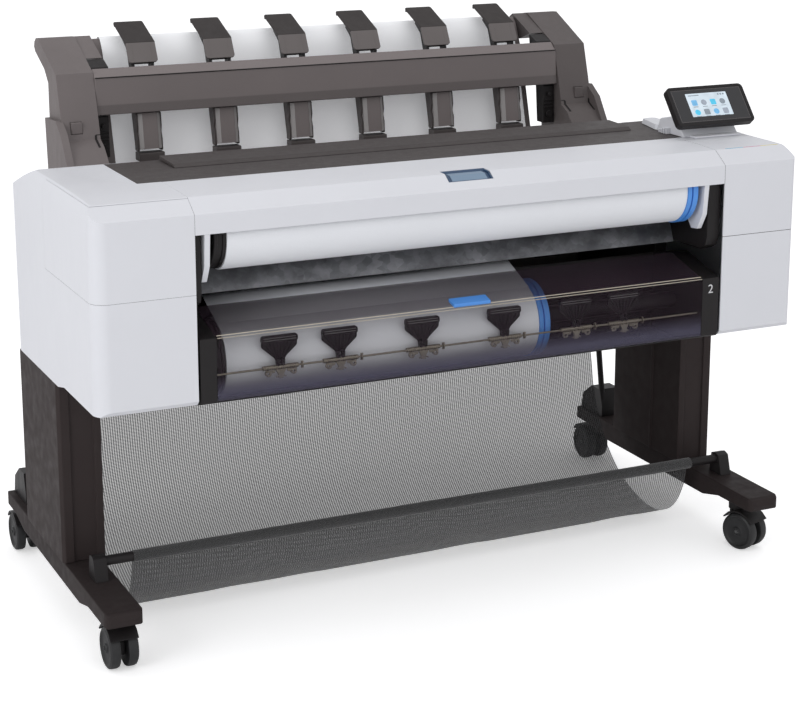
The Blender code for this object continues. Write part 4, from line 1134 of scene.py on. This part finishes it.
def build_wheel(corner):
    """Two dished twin-caster wheels with treads, webs and hub caps."""
    low, high = corner_of(f"caster_wheels_{corner}")
    record_joint = next(j for j in frame["joints"] if j["name"] == f"roll_{corner}")
    swivel = Vector(record_joint["axis"])
    centre = Vector(record_joint["pos_m"]) - Vector((0, FRONT, 0))
    radius = (high.z - low.z) / 2
    wheel = Shape()
    wheel.turn = Matrix.Translation(centre) @ swivel.to_track_quat("X", "Z").to_matrix().to_4x4()
    for side in (-1, 1):
        profile = [(0.0260, 0.0), (0.0260, 0.0075), (0.0250, 0.0085), (0.0235, 0.0090), (0.0225, 0.0110),
                   (0.0225, 0.0260), (0.0240, 0.0290), (0.0258, 0.0305), (0.0258, 0.0330),
                   (0.0235, radius - 0.0010), (0.0200, radius), (0.0110, radius),
                   (0.0075, radius - 0.0012), (0.0066, radius - 0.0040), (0.0066, 0.0)]
        wheel.turned([(side * along, r) for along, r in profile], (0, 0, 0), sides=72)
        wheel.slot = 1
        wheel.turned([(side * along, r) for along, r in ((0.0260, 0.0), (0.0260, 0.0042), (0.0250, 0.0050),
                                                         (0.0240, 0.0050), (0.0240, 0.0))],
                     (0, 0, 0), sides=28)
        wheel.slot = 0
    wheel.turned(drum(0.0066, 0.0042), (0, 0, 0), sides=24)
    wheel.piece(f"twin_wheel_{corner}", f"wheels_{corner}", "caster_rubber", [RUBBER, STEEL],
                stands_for=[f"caster_wheels_{corner}"])


for corner_name in ("front_left", "front_right", "rear_left", "rear_right"):
    build_wheel(corner_name)


# Stage, light and camera.

FLOOR_GLOW = 0.46
SURROUND_STRENGTH = 0.72
LIGHT_AIM = (0, 0, 0.6)


def build_floor():
    """A plain pale floor."""
    mesh = bpy.data.meshes.new("floor")
    reach = 30.0
    mesh.from_pydata([(x, y, 0) for x, y in oblong(-reach, reach, -reach, reach)],
                     [], [(0, 1, 2, 3)])
    floor = linked("floor", mesh)
    graph = Graph("pale_floor")
    cloud = graph.noise(1.5, 3.0)
    graph.colour(graph.mix(graph.span(cloud, 0.0, 1.0), (0.94, 0.94, 0.943, 1), (0.96, 0.96, 0.963, 1)))
    graph.roughness(graph.span(cloud, 0.75, 0.85))
    graph.shader.inputs["Emission Color"].default_value = (1, 1, 1, 1)
    seen = graph.node("ShaderNodeLightPath").outputs["Is Camera Ray"]
    graph.feed(graph.shader.inputs["Emission Strength"], graph.math("MULTIPLY", seen, FLOOR_GLOW))
    mesh.materials.append(graph.material)


def area_light(name, place, size, power):
    """A soft rectangular light aimed at the machine."""
    data = bpy.data.lights.new(name, "AREA")
    data.shape = "RECTANGLE"
    data.size, data.size_y = size
    data.energy = power
    light = linked(name, data)
    light.location = place
    light.rotation_mode = "QUATERNION"
    light.rotation_quaternion = (Vector(LIGHT_AIM) - Vector(place)).to_track_quat("-Z", "Y")


def build_light():
    """Large soft boxes and a bright even surround."""
    world = bpy.data.worlds.new("studio")
    bpy.context.scene.world = world
    world.use_nodes = True
    surround = world.node_tree.nodes["Background"]
    tree = world.node_tree
    seen = tree.nodes.new("ShaderNodeBackground")
    seen.inputs["Strength"].default_value = 1.0
    chooser = tree.nodes.new("ShaderNodeMixShader")
    tree.links.new(tree.nodes.new("ShaderNodeLightPath").outputs["Is Camera Ray"], chooser.inputs[0])
    tree.links.new(surround.outputs[0], chooser.inputs[1])
    tree.links.new(seen.outputs[0], chooser.inputs[2])
    tree.links.new(chooser.outputs[0], tree.nodes["World Output"].inputs["Surface"])
    surround.inputs["Color"].default_value = (0.985, 0.985, 1.0, 1)
    surround.inputs["Strength"].default_value = SURROUND_STRENGTH
    area_light("key", (-4.2, -1.8, 2.4), (2.2, 2.6), 48)
    area_light("front", (0.8, -4.6, 2.6), (3.0, 2.4), 12)
    area_light("top", (0.2, -0.4, 4.4), (4.0, 3.0), 18)
    bpy.context.scene.view_settings.view_transform = "Standard"


CAMERA_PLACE = (-1.5410, -3.3630, 1.4760)
CAMERA_YAW = 25.127
CAMERA_PITCH = 13.281
CAMERA_LENS = 87.34
CAMERA_SHIFT = -0.12


def build_camera():
    """The camera at the viewing angle of the reference."""
    data = bpy.data.cameras.new("camera")
    data.sensor_width = 36.0
    data.lens = CAMERA_LENS
    data.shift_y = CAMERA_SHIFT
    data.clip_end = 100.0
    camera = linked("camera", data)
    camera.location = CAMERA_PLACE
    camera.rotation_euler = (
        math.radians(90 - CAMERA_PITCH), 0, math.radians(-CAMERA_YAW))
    bpy.context.scene.camera = camera


build_floor()
build_light()
build_camera()
